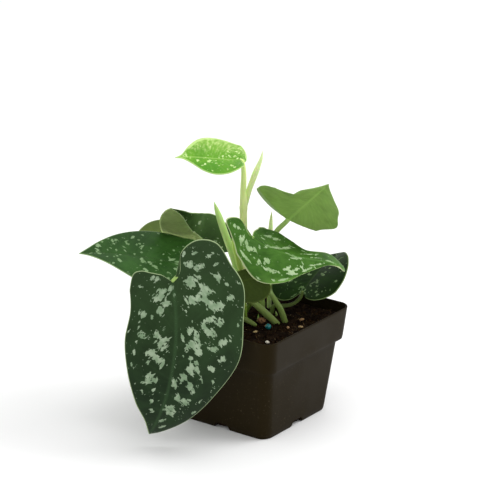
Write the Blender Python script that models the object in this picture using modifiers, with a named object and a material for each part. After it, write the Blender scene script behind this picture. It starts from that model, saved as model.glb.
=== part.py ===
"""A young satin pothos in a square nursery pot. Metres, +Z up.

The origin is the middle of the pot's underside, and the pot's sides are square to X and Y.
"""

from math import cos, pi, radians, sin

import bmesh
import bpy
import numpy as np
from mathutils import Matrix, Vector

GAP = 0.0003

# Pot: half widths, heights and wall. The lower half widths follow from the top one.
POT_HEIGHT = 0.0788
POT_HALF_TOP = 0.0508
BAND_TAPER = 0.0024
BAND_STEP = 0.0037
WALL_TAPER = 0.0063
POT_HALF_BAND_FOOT = POT_HALF_TOP - BAND_TAPER
POT_HALF_UNDER_BAND = POT_HALF_BAND_FOOT - BAND_STEP
POT_HALF_FOOT = POT_HALF_UNDER_BAND - WALL_TAPER
BAND_DEPTH = 0.0241
MIDDLE_RING = 0.03
WALL = 0.0013
FLOOR = 0.0016
CORNER_TOP = 0.0098
CORNER_FOOT = 0.0082
CORNER_STEPS = 6
DRAIN_WIDTH = 0.0165
DRAIN_HEIGHT = 0.0042
DRAIN_REACH = 0.010

# Soil
RIM_TO_SOIL = 0.0068
SOIL_HEIGHT = POT_HEIGHT - RIM_TO_SOIL
SOIL_ROUGHNESS = 0.0006
SOCKET_LENGTH = 0.0080
SOCKET_ROOM = 0.0005

# Plant: its places below are for this pot and soil, and they grow with the pot and rise with the soil.
USUAL_HALF_TOP = 0.0508
USUAL_SOIL_HEIGHT = 0.0720
PLANT_SIZE = POT_HALF_TOP / USUAL_HALF_TOP

# Leaves
LEAF_THICKNESS = 0.0008
LEAF_ROWS = 16
LEAF_COLUMNS = 5
MIDRIB_STEPS = 48

GREEN_OLD = (0.035, 0.075, 0.035)
GREEN_MIDDLE = (0.05, 0.14, 0.045)
GREEN_YOUNG = (0.20, 0.48, 0.07)
GREEN_UNDER = (0.16, 0.30, 0.09)
GREEN_STEM = (0.28, 0.44, 0.13)
GREEN_SHOOT = (0.40, 0.60, 0.22)

# The edge of a usual leaf in blade lengths, from the notch round one lobe to the tip.
USUAL_EDGE = [
    (0.0, 0.0), (-0.07, 0.035), (-0.17, 0.09), (-0.225, 0.18), (-0.21, 0.28), (-0.12, 0.37), (0.02, 0.425),
    (0.2, 0.45), (0.4, 0.415), (0.6, 0.32), (0.78, 0.185), (0.91, 0.07), (1.0, 0.0),
]

# Each leaf starts where its stalk meets it and points along heading and pitch, in degrees. Droop bends
# the tip down, sweep bends it sideways and twist turns it, each (early, late). Fold and curl raise the
# two halves from the midrib, each ((left at base, left at tip), (right at base, right at tip)).
LEAVES = {
    "leaf_front": dict(
        base=(-0.0017, -0.0924, 0.1282), heading=-30, pitch=-61, roll=3,
        length=0.13, half_l=0.0502, half_r=0.0372, droop=(35, 39),
        sweep=(15, -1), twist=7,
        fold=((3, -5), (-14, -8)),
        curl=((-1, -28), (-28, -17)),
        lobe_lift=35, lobe_l=0.95, lobe_r=0.66,
        edge_l=[
            (0.0, 0.0), (-0.05, 0.05), (-0.17, 0.06), (-0.23, 0.16), (-0.19, 0.29), (-0.05, 0.38), (0.07, 0.45),
            (0.23, 0.44), (0.44, 0.44), (0.64, 0.34), (0.84, 0.22), (0.96, 0.08), (1.0, 0.0),
        ],
        edge_r=[
            (0.0, 0.0), (-0.07, 0.08), (-0.09, 0.12), (-0.12, 0.19), (-0.15, 0.26), (-0.14, 0.33), (-0.04, 0.36),
            (0.13, 0.38), (0.34, 0.43), (0.55, 0.37), (0.74, 0.24), (0.87, 0.1), (1.0, 0.0),
        ],
    ),
    "leaf_left": dict(
        base=(-0.025, -0.0532, 0.1242), heading=-144, pitch=12, roll=-17,
        length=0.0714, half_l=0.0304, half_r=0.0344, droop=(-3, 14),
        sweep=(-5, -6), twist=7,
        fold=((0, 15), (5, 10)),
        curl=((-22, -13), (-14, -14)),
        lobe_lift=17, lobe_l=1.01, lobe_r=1.0,
    ),
    "leaf_folded": dict(
        base=(-0.0371, -0.0104, 0.1161), heading=204, pitch=-10, roll=-16,
        length=0.0818, half_l=0.0276, half_r=0.0283, droop=(-115, -23),
        sweep=(-7, -25), twist=-30,
        fold=((56, 105), (36, 53)),
        curl=((36, 20), (-7, 9)),
        lobe_lift=-6, lobe_l=0.31, lobe_r=0.98,
        edge_l=[
            (0.0, 0.0), (-0.04, 0.05), (-0.11, 0.13), (-0.16, 0.21), (-0.22, 0.3), (-0.14, 0.38), (0.01, 0.43),
            (0.19, 0.39), (0.4, 0.37), (0.61, 0.33), (0.82, 0.24), (0.96, 0.1), (1.0, 0.0),
        ],
        edge_r=[
            (0.0, 0.0), (-0.17, 0.02), (-0.29, 0.05), (-0.28, 0.14), (-0.27, 0.27), (-0.19, 0.40), (-0.05, 0.51),
            (0.18, 0.47), (0.39, 0.4), (0.59, 0.32), (0.78, 0.19), (0.91, 0.07), (1.0, 0.0),
        ],
    ),
    "leaf_rear_left": dict(
        base=(-0.0627, 0.0053, 0.1144), heading=-129, pitch=26, roll=18,
        length=0.0424, half_l=0.02, half_r=0.0268, droop=(10, 13),
        sweep=(-3, -2), twist=-9,
        fold=((8, 8), (27, 17)),
        curl=((-10, -10), (11, -1)),
        lobe_lift=5, lobe_l=1.0, lobe_r=1.0,
    ),
    "leaf_middle": dict(
        base=(0.0139, -0.0207, 0.1431), heading=12, pitch=-34, roll=15,
        length=0.0919, half_l=0.0314, half_r=0.0223, droop=(-27, 86),
        sweep=(-53, -20), twist=-2,
        fold=((-33, -1), (-8, -56)),
        curl=((17, -29), (-22, -47)),
        lobe_lift=29, lobe_l=1.0, lobe_r=1.0,
        edge_l=[
            (0.0, 0.0), (-0.01, 0.04), (-0.03, 0.11), (-0.04, 0.19), (-0.04, 0.28), (-0.04, 0.35), (0.01, 0.46),
            (0.18, 0.5), (0.35, 0.39), (0.49, 0.19), (0.75, 0.18), (0.89, 0.12), (1.0, 0.0),
        ],
        edge_r=[
            (0.0, 0.0), (-0.04, 0.04), (-0.18, 0.04), (-0.25, 0.24), (-0.15, 0.29), (-0.07, 0.32), (0.03, 0.39),
            (0.17, 0.52), (0.32, 0.41), (0.44, 0.23), (0.65, 0.05), (0.91, 0.04), (1.0, 0.0),
        ],
    ),
    "leaf_right": dict(
        base=(0.0216, 0.0301, 0.0886), heading=97, pitch=25, roll=-6,
        length=0.0583, half_l=0.0266, half_r=0.0307, droop=(11, 15),
        sweep=(2, -2), twist=-10,
        fold=((14, 8), (12, 19)),
        curl=((0, -10), (-11, 1)),
        lobe_lift=-3, lobe_l=0.98, lobe_r=0.68,
    ),
    "leaf_under": dict(
        base=(0.0234, -0.0224, 0.1159), heading=226, pitch=-2, roll=84,
        length=0.0345, half_l=0.0103, half_r=0.0187, droop=(10, 8),
        sweep=(8, 3), twist=4,
        fold=((-8, 7), (4, 2)),
        curl=((-27, -12), (-18, -16)),
        lobe_lift=-11, lobe_l=1.0, lobe_r=0.78,
    ),
    "leaf_top": dict(
        base=(-0.007, -0.0057, 0.1914), heading=-143, pitch=0, roll=-13,
        length=0.0467, half_l=0.0236, half_r=0.0263, droop=(-16, 16),
        sweep=(-4, -3), twist=-8,
        fold=((26, 6), (9, 15)),
        curl=((-17, -31), (-30, -1)),
        lobe_lift=-47, lobe_l=0.29, lobe_r=0.6,
        edge_l=[
            (0.0, 0.0), (-0.14, 0.02), (-0.22, 0.07), (-0.24, 0.17), (-0.19, 0.27), (-0.1, 0.35), (0.02, 0.43),
            (0.19, 0.48), (0.41, 0.44), (0.6, 0.32), (0.76, 0.15), (0.89, 0.03), (1.0, 0.0),
        ],
        edge_r=[
            (0.0, 0.0), (-0.13, 0.02), (-0.2, 0.08), (-0.22, 0.18), (-0.2, 0.28), (-0.12, 0.37), (0.03, 0.41),
            (0.21, 0.45), (0.4, 0.42), (0.61, 0.33), (0.78, 0.18), (0.89, 0.05), (1.0, 0.0),
        ],
    ),
    "leaf_upper_right": dict(
        base=(0.0140, 0.0223, 0.1438), heading=7, pitch=46, roll=-58,
        length=0.0817, half_l=0.0283, half_r=0.0268, droop=(31, 15),
        sweep=(13, 10), twist=2,
        fold=((8, -42), (9, -37)),
        curl=((15, -22), (25, -20)),
        lobe_lift=53, lobe_l=0.96, lobe_r=0.95,
        edge_l=[
            (0.0, 0.0), (-0.07, 0.04), (-0.16, 0.1), (-0.21, 0.18), (-0.19, 0.29), (-0.15, 0.39), (0.02, 0.41),
            (0.14, 0.51), (0.36, 0.38), (0.6, 0.29), (0.76, 0.16), (0.88, 0.05), (1.0, 0.0),
        ],
        edge_r=[
            (0.0, 0.0), (-0.06, 0.04), (-0.15, 0.08), (-0.21, 0.15), (-0.21, 0.26), (-0.14, 0.44), (0.02, 0.53),
            (0.23, 0.43), (0.26, 0.23), (0.6, 0.22), (0.78, 0.17), (0.91, 0.07), (1.0, 0.0),
        ],
    ),
}

# Round stalks and rolled young leaves: places along each and its radius there.
STALKS = {
    "stem_top": dict(
        points=[
            (-0.0179, 0.0111, 0.0720), (-0.0170, 0.0111, 0.0869), (-0.0162, 0.0105, 0.1102),
            (-0.0148, 0.0078, 0.1401), (-0.0132, 0.0057, 0.1545), (-0.0121, 0.0039, 0.1656),
            (-0.0093, 0.0006, 0.1779), (-0.0069, -0.0035, 0.1877),
        ],
        radii=[0.0026, 0.0027, 0.0027, 0.0027, 0.0027, 0.0022, 0.0019, 0.0015],
        colour=GREEN_STEM,
    ),
    "sheath_top": dict(
        points=[
            (-0.0120, 0.0098, 0.1588), (-0.0103, 0.0091, 0.1661), (-0.0075, 0.0088, 0.1730),
            (-0.0045, 0.0084, 0.1797), (-0.0017, 0.0083, 0.1858), (0.0006, 0.0081, 0.1914),
            (0.0020, 0.0076, 0.1968),
        ],
        radii=[0.0013, 0.0019, 0.0022, 0.0022, 0.0016, 0.0010, 0.0002],
        colour=GREEN_SHOOT,
        stands=False,
    ),
    "stalk_front": dict(
        points=[
            (0.0176, 0.0040, 0.0706), (0.0137, -0.0030, 0.0795), (0.0095, -0.0129, 0.0903),
            (0.0016, -0.0236, 0.1032), (-0.0042, -0.0415, 0.1193), (-0.0014, -0.0679, 0.1330),
            (0.0006, -0.0857, 0.1326),
        ],
        radii=[0.0025, 0.0025, 0.0023, 0.0019, 0.0016, 0.0014, 0.0012],
        colour=GREEN_STEM,
    ),
    "stalk_left": dict(
        points=[
            (-0.0189, 0.0016, 0.0716), (-0.0192, -0.0004, 0.0838), (-0.0201, -0.0110, 0.1006),
            (-0.0225, -0.0289, 0.1137), (-0.0243, -0.0450, 0.1201),
        ],
        radii=[0.0018, 0.0017, 0.0015, 0.0014, 0.0012],
        colour=GREEN_STEM,
    ),
    "stalk_folded": dict(
        points=[
            (-0.0276, 0.0145, 0.0726), (-0.0286, 0.0111, 0.0834), (-0.0315, 0.0055, 0.0959),
            (-0.0349, -0.0017, 0.1063), (-0.0364, -0.0067, 0.1120),
        ],
        radii=[0.0018, 0.0017, 0.0015, 0.0013, 0.0012],
        colour=GREEN_STEM,
    ),
    "stalk_rear_left": dict(
        points=[
            (-0.0370, 0.0175, 0.0711), (-0.0415, 0.0163, 0.0843), (-0.0518, 0.0146, 0.0995),
            (-0.0594, 0.0080, 0.1114),
        ],
        radii=[0.0016, 0.0014, 0.0013, 0.0011],
        colour=GREEN_STEM,
    ),
    "stalk_middle": dict(
        points=[
            (0.0216, 0.0090, 0.0704), (0.0197, 0.0057, 0.0815), (0.0174, 0.0016, 0.0899),
            (0.0157, -0.0046, 0.1005), (0.0147, -0.0116, 0.1145), (0.0136, -0.0173, 0.1286),
            (0.0130, -0.0196, 0.1389),
        ],
        radii=[0.0021, 0.0020, 0.0018, 0.0016, 0.0015, 0.0014, 0.0013],
        colour=GREEN_STEM,
    ),
    "stalk_right": dict(
        points=[
            (0.0025, 0.0174, 0.0693), (0.0040, 0.0190, 0.0768), (0.0104, 0.0225, 0.0772),
            (0.0156, 0.0263, 0.0788), (0.0191, 0.0286, 0.0823), (0.0210, 0.0296, 0.0863),
        ],
        radii=[0.0016, 0.0015, 0.0014, 0.0013, 0.0013, 0.0012],
        colour=GREEN_STEM,
    ),
    "stalk_under": dict(
        points=[
            (-0.0122, 0.0041, 0.0709), (-0.0058, 0.0032, 0.0803), (0.0047, -0.0040, 0.0941),
            (0.0153, -0.0124, 0.1081), (0.0217, -0.0194, 0.1150),
        ],
        radii=[0.0016, 0.0015, 0.0014, 0.0012, 0.0010],
        colour=GREEN_STEM,
    ),
    "stalk_upper_right": dict(
        points=[
            (-0.0033, 0.0156, 0.0701), (-0.0053, 0.0172, 0.0876), (-0.0036, 0.0172, 0.1094),
            (0.0016, 0.0173, 0.1249), (0.0067, 0.0186, 0.1347), (0.0122, 0.0207, 0.1413),
        ],
        radii=[0.0019, 0.0018, 0.0018, 0.0018, 0.0018, 0.0017],
        colour=GREEN_STEM,
    ),
    "shoot_small": dict(
        points=[
            (-0.0039, 0.0238, 0.0697), (-0.0039, 0.0238, 0.0859), (-0.0033, 0.0238, 0.1090),
            (-0.0027, 0.0237, 0.1305), (-0.0022, 0.0236, 0.1397), (-0.0016, 0.0236, 0.1466),
        ],
        radii=[0.0016, 0.0018, 0.0019, 0.0018, 0.0012, 0.0002],
        colour=GREEN_SHOOT,
    ),
    "shoot_tall": dict(
        points=[
            (-0.0130, -0.0039, 0.0709), (-0.0109, -0.0043, 0.0838), (-0.0090, -0.0063, 0.0986),
            (-0.0088, -0.0089, 0.1115), (-0.0106, -0.0115, 0.1222), (-0.0132, -0.0141, 0.1332),
            (-0.0156, -0.0166, 0.1439), (-0.0171, -0.0185, 0.1515), (-0.0183, -0.0200, 0.1573),
            (-0.0190, -0.0214, 0.1628),
        ],
        radii=[0.0023, 0.0024, 0.0026, 0.0028, 0.0027, 0.0026, 0.0025, 0.0022, 0.0014, 0.0002],
        colour=GREEN_SHOOT,
    ),
    "shoot_short": dict(
        points=[
            (-0.0072, -0.0016, 0.0723), (-0.0036, -0.0076, 0.0849), (-0.0032, -0.0097, 0.1009),
            (-0.0032, -0.0123, 0.1133), (-0.0039, -0.0134, 0.1189), (-0.0048, -0.0144, 0.1243),
            (-0.0058, -0.0154, 0.1299), (-0.0065, -0.0161, 0.1352), (-0.0067, -0.0163, 0.1397),
        ],
        radii=[0.0020, 0.0020, 0.0021, 0.0021, 0.0020, 0.0018, 0.0015, 0.0010, 0.0002],
        colour=GREEN_SHOOT,
    ),
    "stem_low": dict(
        points=[
            (-0.0085, -0.0070, 0.0752), (-0.0020, -0.0100, 0.0754), (0.0060, -0.0130, 0.0752),
            (0.0125, -0.0150, 0.0748),
        ],
        radii=[0.0014, 0.0019, 0.0018, 0.0012],
        colour=GREEN_STEM,
        stands=False,
    ),
    "shoot_low": dict(
        points=[(0.0060, -0.0030, 0.0700), (0.0062, -0.0032, 0.0740), (0.0066, -0.0034, 0.0785)],
        radii=[0.0012, 0.0010, 0.0002],
        colour=GREEN_SHOOT,
    ),
    "shoot_rear": dict(
        points=[(0.0110, 0.0128, 0.0700), (0.0108, 0.0126, 0.0735), (0.0104, 0.0122, 0.0765)],
        radii=[0.0011, 0.0009, 0.0002],
        colour=GREEN_SHOOT,
    ),
}

LEAF_COLOURS = {
    "leaf_front": GREEN_OLD,
    "leaf_left": GREEN_MIDDLE,
    "leaf_folded": GREEN_UNDER,
    "leaf_rear_left": GREEN_UNDER,
    "leaf_middle": GREEN_MIDDLE,
    "leaf_right": GREEN_OLD,
    "leaf_under": GREEN_UNDER,
    "leaf_top": GREEN_YOUNG,
    "leaf_upper_right": GREEN_UNDER,
}

# Crumbs on the soil: name, place, size, turn in degrees and colour.
BITS = [
    ("bark_nub", (0.0105, -0.0052), (0.0058, 0.0040, 0.0044), 20, (0.20, 0.11, 0.05)),
    ("bark_chip_orange", (0.0165, -0.0072), (0.0030, 0.0022, 0.0014), 50, (0.45, 0.20, 0.06)),
    ("feed_bead", (0.0209, -0.0114), (0.0043, 0.0043, 0.0043), 0, (0.0, 0.16, 0.19)),
    ("straw_chip_front", (0.0180, -0.0231), (0.0032, 0.0018, 0.0014), 70, (0.42, 0.30, 0.14)),
    ("perlite_front", (0.0360, -0.0333), (0.0028, 0.0022, 0.0018), 10, (0.62, 0.58, 0.50)),
    ("bark_chip_right", (0.0311, -0.0016), (0.0036, 0.0020, 0.0013), 130, (0.30, 0.17, 0.08)),
    ("straw_chip_right", (0.0374, 0.0050), (0.0032, 0.0016, 0.0012), 30, (0.40, 0.27, 0.13)),
    ("bark_chip_rear", (0.0300, 0.0168), (0.0040, 0.0024, 0.0014), 75, (0.26, 0.14, 0.07)),
]


def clear_scene():
    for thing in list(bpy.data.objects):
        bpy.data.objects.remove(thing)


def new_collection(name):
    group = bpy.data.collections.new(name)
    bpy.context.scene.collection.children.link(group)
    return group


def material(name, colour, roughness):
    made = bpy.data.materials.new(name)
    made.use_nodes = True
    shader = made.node_tree.nodes["Principled BSDF"]
    shader.inputs["Base Color"].default_value = (*colour, 1.0)
    shader.inputs["Roughness"].default_value = roughness
    shader.inputs["Metallic"].default_value = 0.0
    return made


def mesh_object(name, body, colour, roughness, group):
    """Turns a bmesh into a smooth shaded object with its own material."""
    bmesh.ops.recalc_face_normals(body, faces=body.faces)
    mesh = bpy.data.meshes.new(name)
    body.to_mesh(mesh)
    body.free()
    for face in mesh.polygons:
        face.use_smooth = True
    mesh.set_sharp_from_angle(angle=radians(40))
    made = bpy.data.objects.new(name, mesh)
    made.data.materials.append(material(name, colour, roughness))
    group.objects.link(made)
    return made


# ---- pot and soil ----

def rounded_square(half, corner, height):
    """Places round a square with rounded corners, counterclockwise."""
    places = []
    for quarter in range(4):
        turn = quarter * pi / 2
        for step in range(CORNER_STEPS + 1):
            angle = turn + step / CORNER_STEPS * pi / 2
            middle = half - corner
            x = middle * (1 if quarter in (0, 3) else -1) + corner * cos(angle)
            y = middle * (1 if quarter in (0, 1) else -1) + corner * sin(angle)
            places.append((x, y, height))
    return places


def loft(rings):
    """A closed body through rings of equally many places, with flat caps at both ends."""
    body = bmesh.new()
    made = [[body.verts.new(place) for place in ring] for ring in rings]
    count = len(made[0])
    for low, high in zip(made, made[1:]):
        for i in range(count):
            j = (i + 1) % count
            body.faces.new((low[i], low[j], high[j], high[i]))
    body.faces.new(made[0])
    body.faces.new(made[-1])
    return body


def wall_half(height):
    """Outer half width of the pot's wall below the band."""
    along = height / (POT_HEIGHT - BAND_DEPTH)
    return POT_HALF_FOOT + (POT_HALF_UNDER_BAND - POT_HALF_FOOT) * along


def make_drain_cutter(cutters):
    """Four slots through the foot of the walls, narrower at the top."""
    body = bmesh.new()
    for side in range(4):
        made = bmesh.ops.create_cube(body, size=1.0)["verts"]
        for vert in made:
            if vert.co.z > 0:
                vert.co.x *= 0.68
        bmesh.ops.scale(body, verts=made, vec=(DRAIN_WIDTH, 2 * DRAIN_REACH, 2 * DRAIN_HEIGHT))
        bmesh.ops.translate(body, verts=made, vec=(0.0, -POT_HALF_FOOT, 0.0))
        bmesh.ops.rotate(body, verts=made, cent=(0, 0, 0), matrix=Matrix.Rotation(side * pi / 2, 3, "Z"))
    bmesh.ops.recalc_face_normals(body, faces=body.faces)
    return cutter_object("cut_drain_slots", body, cutters)


def cutter_object(name, body, cutters):
    mesh = bpy.data.meshes.new(name)
    body.to_mesh(mesh)
    body.free()
    made = bpy.data.objects.new(name, mesh)
    made.hide_render = True
    made.display_type = "WIRE"
    cutters.objects.link(made)
    return made


def cut(target, cutter):
    step = target.modifiers.new(cutter.name, "BOOLEAN")
    step.operation = "DIFFERENCE"
    step.solver = "EXACT"
    step.object = cutter


def make_pot(group, cutters):
    step_height = POT_HEIGHT - BAND_DEPTH
    lip = 0.0004
    outer = [
        rounded_square(POT_HALF_FOOT - 0.0008, CORNER_FOOT - 0.0008, 0.0),
        rounded_square(POT_HALF_FOOT, CORNER_FOOT, 0.0009),
        rounded_square(wall_half(MIDDLE_RING), (CORNER_FOOT + CORNER_TOP) / 2, MIDDLE_RING),
        rounded_square(POT_HALF_UNDER_BAND, CORNER_TOP - 0.0022, step_height - 0.0004),
        rounded_square(POT_HALF_UNDER_BAND + 0.0012, CORNER_TOP - 0.0016, step_height),
        rounded_square(POT_HALF_BAND_FOOT - 0.0008, CORNER_TOP - 0.0008, step_height),
        rounded_square(POT_HALF_BAND_FOOT, CORNER_TOP, step_height + 0.0008),
        rounded_square(POT_HALF_TOP, CORNER_TOP, POT_HEIGHT - lip),
        rounded_square(POT_HALF_TOP - lip, CORNER_TOP - lip, POT_HEIGHT),
    ]
    inner = [
        rounded_square(POT_HALF_TOP - WALL + lip, CORNER_TOP - WALL + lip, POT_HEIGHT),
        rounded_square(POT_HALF_TOP - WALL, CORNER_TOP - WALL, POT_HEIGHT - lip),
        rounded_square(POT_HALF_BAND_FOOT - WALL, CORNER_TOP - WALL, step_height + WALL),
        rounded_square(POT_HALF_UNDER_BAND - WALL + 0.0004, CORNER_TOP - 0.0030, step_height + WALL),
        rounded_square(POT_HALF_UNDER_BAND - WALL, CORNER_TOP - 0.0034, step_height + WALL - 0.0004),
        rounded_square(wall_half(MIDDLE_RING) - WALL, (CORNER_FOOT + CORNER_TOP) / 2 - WALL, MIDDLE_RING),
        rounded_square(wall_half(FLOOR) - WALL, CORNER_FOOT - WALL, FLOOR),
    ]
    pot = mesh_object("pot", loft(outer + inner), (0.018, 0.016, 0.014), 0.42, group)
    cut(pot, make_drain_cutter(cutters))
    return pot


def soil_height(x, y):
    """The soil's top, gently uneven."""
    wave = sin(190 * x + 1.0) * cos(160 * y + 0.4) + 0.6 * sin(330 * y - 210 * x)
    return SOIL_HEIGHT + SOIL_ROUGHNESS * wave


def make_soil(group, cutters, sockets):
    step_height = POT_HEIGHT - BAND_DEPTH + WALL
    back = WALL + GAP
    rings = [
        rounded_square(wall_half(FLOOR) - back, CORNER_FOOT - back, FLOOR + GAP),
        rounded_square(wall_half(MIDDLE_RING) - back, (CORNER_FOOT + CORNER_TOP) / 2 - back, MIDDLE_RING),
        rounded_square(POT_HALF_UNDER_BAND - back, CORNER_TOP - 0.0037, step_height - 0.0004),
        rounded_square(POT_HALF_UNDER_BAND - back, CORNER_TOP - 0.0037, step_height + GAP),
        rounded_square(POT_HALF_BAND_FOOT - back - 0.0004, CORNER_TOP - back, step_height + GAP),
    ]
    top_half = POT_HALF_BAND_FOOT - back + 0.0010
    for share in (1.0, 0.9, 0.75, 0.6, 0.45, 0.3, 0.15):
        flat = rounded_square(top_half * share, (CORNER_TOP - back) * share, 0.0)
        rings.append([(x, y, soil_height(x, y)) for x, y, _ in flat])
    ground = loft(rings)
    ground.faces.ensure_lookup_table()
    bmesh.ops.poke(ground, faces=[ground.faces[-1]])
    bmesh.ops.triangulate(ground, faces=ground.faces)
    soil = mesh_object("soil", ground, (0.022, 0.013, 0.008), 0.95, group)
    body = bmesh.new()
    for points, radius in sockets:
        foot, higher = (Vector(place) for place in smooth_curve(points, (0.0, 0.12)))
        lean = (higher - foot).normalized()
        turn = lean.to_track_quat("Z", "Y").to_matrix().to_4x4()
        middle = foot + lean * (SOCKET_LENGTH / 2 - 2 * GAP)
        bmesh.ops.create_cone(body, cap_ends=True, segments=12, radius1=radius + SOCKET_ROOM,
                              radius2=radius + SOCKET_ROOM, depth=SOCKET_LENGTH,
                              matrix=Matrix.Translation(middle) @ turn)
    cut(soil, cutter_object("cut_stem_sockets", body, cutters))
    return soil


# ---- leaves ----

def planted(place):
    """A place on the plant, grown with the pot and carried by the soil."""
    x, y, z = place
    return (x * PLANT_SIZE, y * PLANT_SIZE, SOIL_HEIGHT + (z - USUAL_SOIL_HEIGHT) * PLANT_SIZE)


def grown_leaf(leaf):
    """A leaf's sizes with its base in place on the plant."""
    sizes = {key: leaf[key] * PLANT_SIZE for key in ("length", "half_l", "half_r")}
    return dict(leaf, base=planted(leaf["base"]), **sizes)


def grown_stalk(stalk):
    """A stalk's places and radii on the plant."""
    radii = [radius * PLANT_SIZE for radius in stalk["radii"]]
    return [planted(place) for place in stalk["points"]], radii


def smooth_curve(points, where):
    """Places along a smooth curve through points, for where in 0 to 1."""
    known = np.asarray(points, float)
    known = np.vstack([2 * known[0] - known[1], known, 2 * known[-1] - known[-2]])
    spans = len(known) - 3
    along = np.clip(np.asarray(where, float), 0, 1) * spans
    first = np.minimum(along.astype(int), spans - 1)
    f = (along - first)[..., None]
    a, b, c, d = known[first], known[first + 1], known[first + 2], known[first + 3]
    return 0.5 * (2 * b + (c - a) * f + (2 * a - 5 * b + 4 * c - d) * f ** 2
                  + (3 * b - a - 3 * c + d) * f ** 3)


def turned(first, second, angle):
    """Both directions turned by angle in their own plane, first towards second."""
    return (first * cos(angle) + second * sin(angle), second * cos(angle) - first * sin(angle))


def midrib_frames(leaf):
    """Place, forward, side and up at equal steps along the midrib."""
    heading, pitch, roll = (radians(leaf[key]) for key in ("heading", "pitch", "roll"))
    forward = np.array([cos(pitch) * cos(heading), cos(pitch) * sin(heading), sin(pitch)])
    side = np.array([sin(heading), -cos(heading), 0.0])
    up = np.cross(side, forward)
    up, side = turned(up, side, roll)
    place = np.array(leaf["base"], float)
    frames = [(place, forward, side, up)]
    for i in range(MIDRIB_STEPS):
        late = (i + 0.5) / MIDRIB_STEPS
        bends = [2 * radians(early * (1 - late) + end * late) / MIDRIB_STEPS
                 for early, end in (leaf["droop"], leaf["sweep"])]
        forward, up = turned(forward, up, -bends[0])
        forward, side = turned(forward, side, bends[1])
        up, side = turned(up, side, radians(leaf["twist"]) / MIDRIB_STEPS)
        place = place + forward * leaf["length"] / MIDRIB_STEPS
        frames.append((place, forward, side, up))
    return [np.array(column) for column in zip(*frames)]


def flat_place(leaf, across, along):
    """Where a blade lies when flat: across is -1 (left edge) to 1, along is 0 (notch) to 1 (tip)."""
    edge = np.where((across > 0)[..., None], smooth_curve(leaf.get("edge_r", USUAL_EDGE), along),
                    smooth_curve(leaf.get("edge_l", USUAL_EDGE), along))
    reach = np.abs(across)
    rib = along ** 1.7
    x = rib + (edge[..., 0] - rib) * reach ** 1.25
    lobe = np.where(across > 0, leaf["lobe_r"], leaf["lobe_l"])
    half = np.where(across > 0, leaf["half_r"], leaf["half_l"]) / 0.45
    return np.where(x < 0, x * lobe, x) * leaf["length"], edge[..., 1] * across * half


def blade_places(leaf, across, along):
    """Bent places of a blade's middle surface."""
    across, along = np.broadcast_arrays(np.asarray(across, float), np.asarray(along, float))
    x, y = flat_place(leaf, across, along)
    spot = np.clip(x / leaf["length"], 0, 1) * MIDRIB_STEPS
    first = np.minimum(spot.astype(int), MIDRIB_STEPS - 1)
    mix = (spot - first)[..., None]
    place, forward, side, up = (column[first] * (1 - mix) + column[first + 1] * mix
                                for column in midrib_frames(leaf))
    behind = np.minimum(x, 0)[..., None]
    lift = radians(leaf["lobe_lift"])
    place = place + forward * behind * cos(lift) - up * behind * sin(lift)
    late = np.clip(x / leaf["length"], 0, 1)
    right = across > 0

    def angle(name):
        (left_base, left_tip), (right_base, right_tip) = leaf[name]
        base = np.where(right, right_base, left_base)
        tip = np.where(right, right_tip, left_tip)
        return np.radians(base + (tip - base) * late)

    reach = np.abs(y)
    half = np.where(right, leaf["half_r"], leaf["half_l"])
    out = np.zeros_like(reach)
    rise = np.zeros_like(reach)
    for j in range(8):
        slope = angle("fold") + angle("curl") * (j + 0.5) / 8 * reach / half
        out += np.cos(slope) * reach / 8
        rise += np.sin(slope) * reach / 8
    return place + side * (out * np.sign(y))[..., None] + up * rise[..., None]


def make_leaf(name, leaf, colour, group):
    """A blade as a sheet with thickness."""
    across = np.linspace(-1, 1, 2 * LEAF_COLUMNS + 1)
    along = np.linspace(0, 1, LEAF_ROWS + 1)
    places = blade_places(leaf, across[None, :], along[:, None])
    body = bmesh.new()
    grid = [[body.verts.new(place) for place in row] for row in places]
    for near, far in zip(grid, grid[1:]):
        for i in range(2 * LEAF_COLUMNS):
            body.faces.new((near[i], near[i + 1], far[i + 1], far[i]))
    bmesh.ops.remove_doubles(body, verts=body.verts, dist=0.00002)
    made = mesh_object(name, body, colour, 0.4, group)
    shell = made.modifiers.new("thickness", "SOLIDIFY")
    shell.thickness = LEAF_THICKNESS
    shell.offset = 0.0
    return made


# ---- stalks, shoots and bits ----

def make_stalk(name, points, radii, colour, group, steps=12):
    """A round stalk along a smooth curve through points, with a radius at each."""
    where = np.linspace(0, 1, steps)
    places = smooth_curve(points, where)
    widths = smooth_curve([(radius,) for radius in radii], where)[:, 0]
    curve = bpy.data.curves.new(name, "CURVE")
    curve.dimensions = "3D"
    curve.bevel_depth = 1.0
    curve.bevel_resolution = 2
    curve.use_fill_caps = True
    line = curve.splines.new("POLY")
    line.points.add(steps - 1)
    for point, place, width in zip(line.points, places, widths):
        point.co = (*place, 1.0)
        point.radius = width
    line.use_smooth = True
    curve.materials.append(material(name, colour, 0.45))
    made = bpy.data.objects.new(name, curve)
    group.objects.link(made)
    return made


def make_bit(name, place, size, turn, colour, group):
    """A crumb resting just above the soil."""
    body = bmesh.new()
    bmesh.ops.create_icosphere(body, subdivisions=1, radius=0.5)
    bmesh.ops.scale(body, verts=body.verts, vec=size)
    bmesh.ops.rotate(body, verts=body.verts, cent=(0, 0, 0), matrix=Matrix.Rotation(radians(turn), 3, "Z"))
    rest = max(soil_height(place[0] + dx, place[1] + dy) for dx in (-0.003, 0, 0.003)
               for dy in (-0.003, 0, 0.003))
    bmesh.ops.translate(body, verts=body.verts, vec=(*place, rest + size[2] / 2 + 3 * GAP))
    return mesh_object(name, body, colour, 0.7, group)


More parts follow.
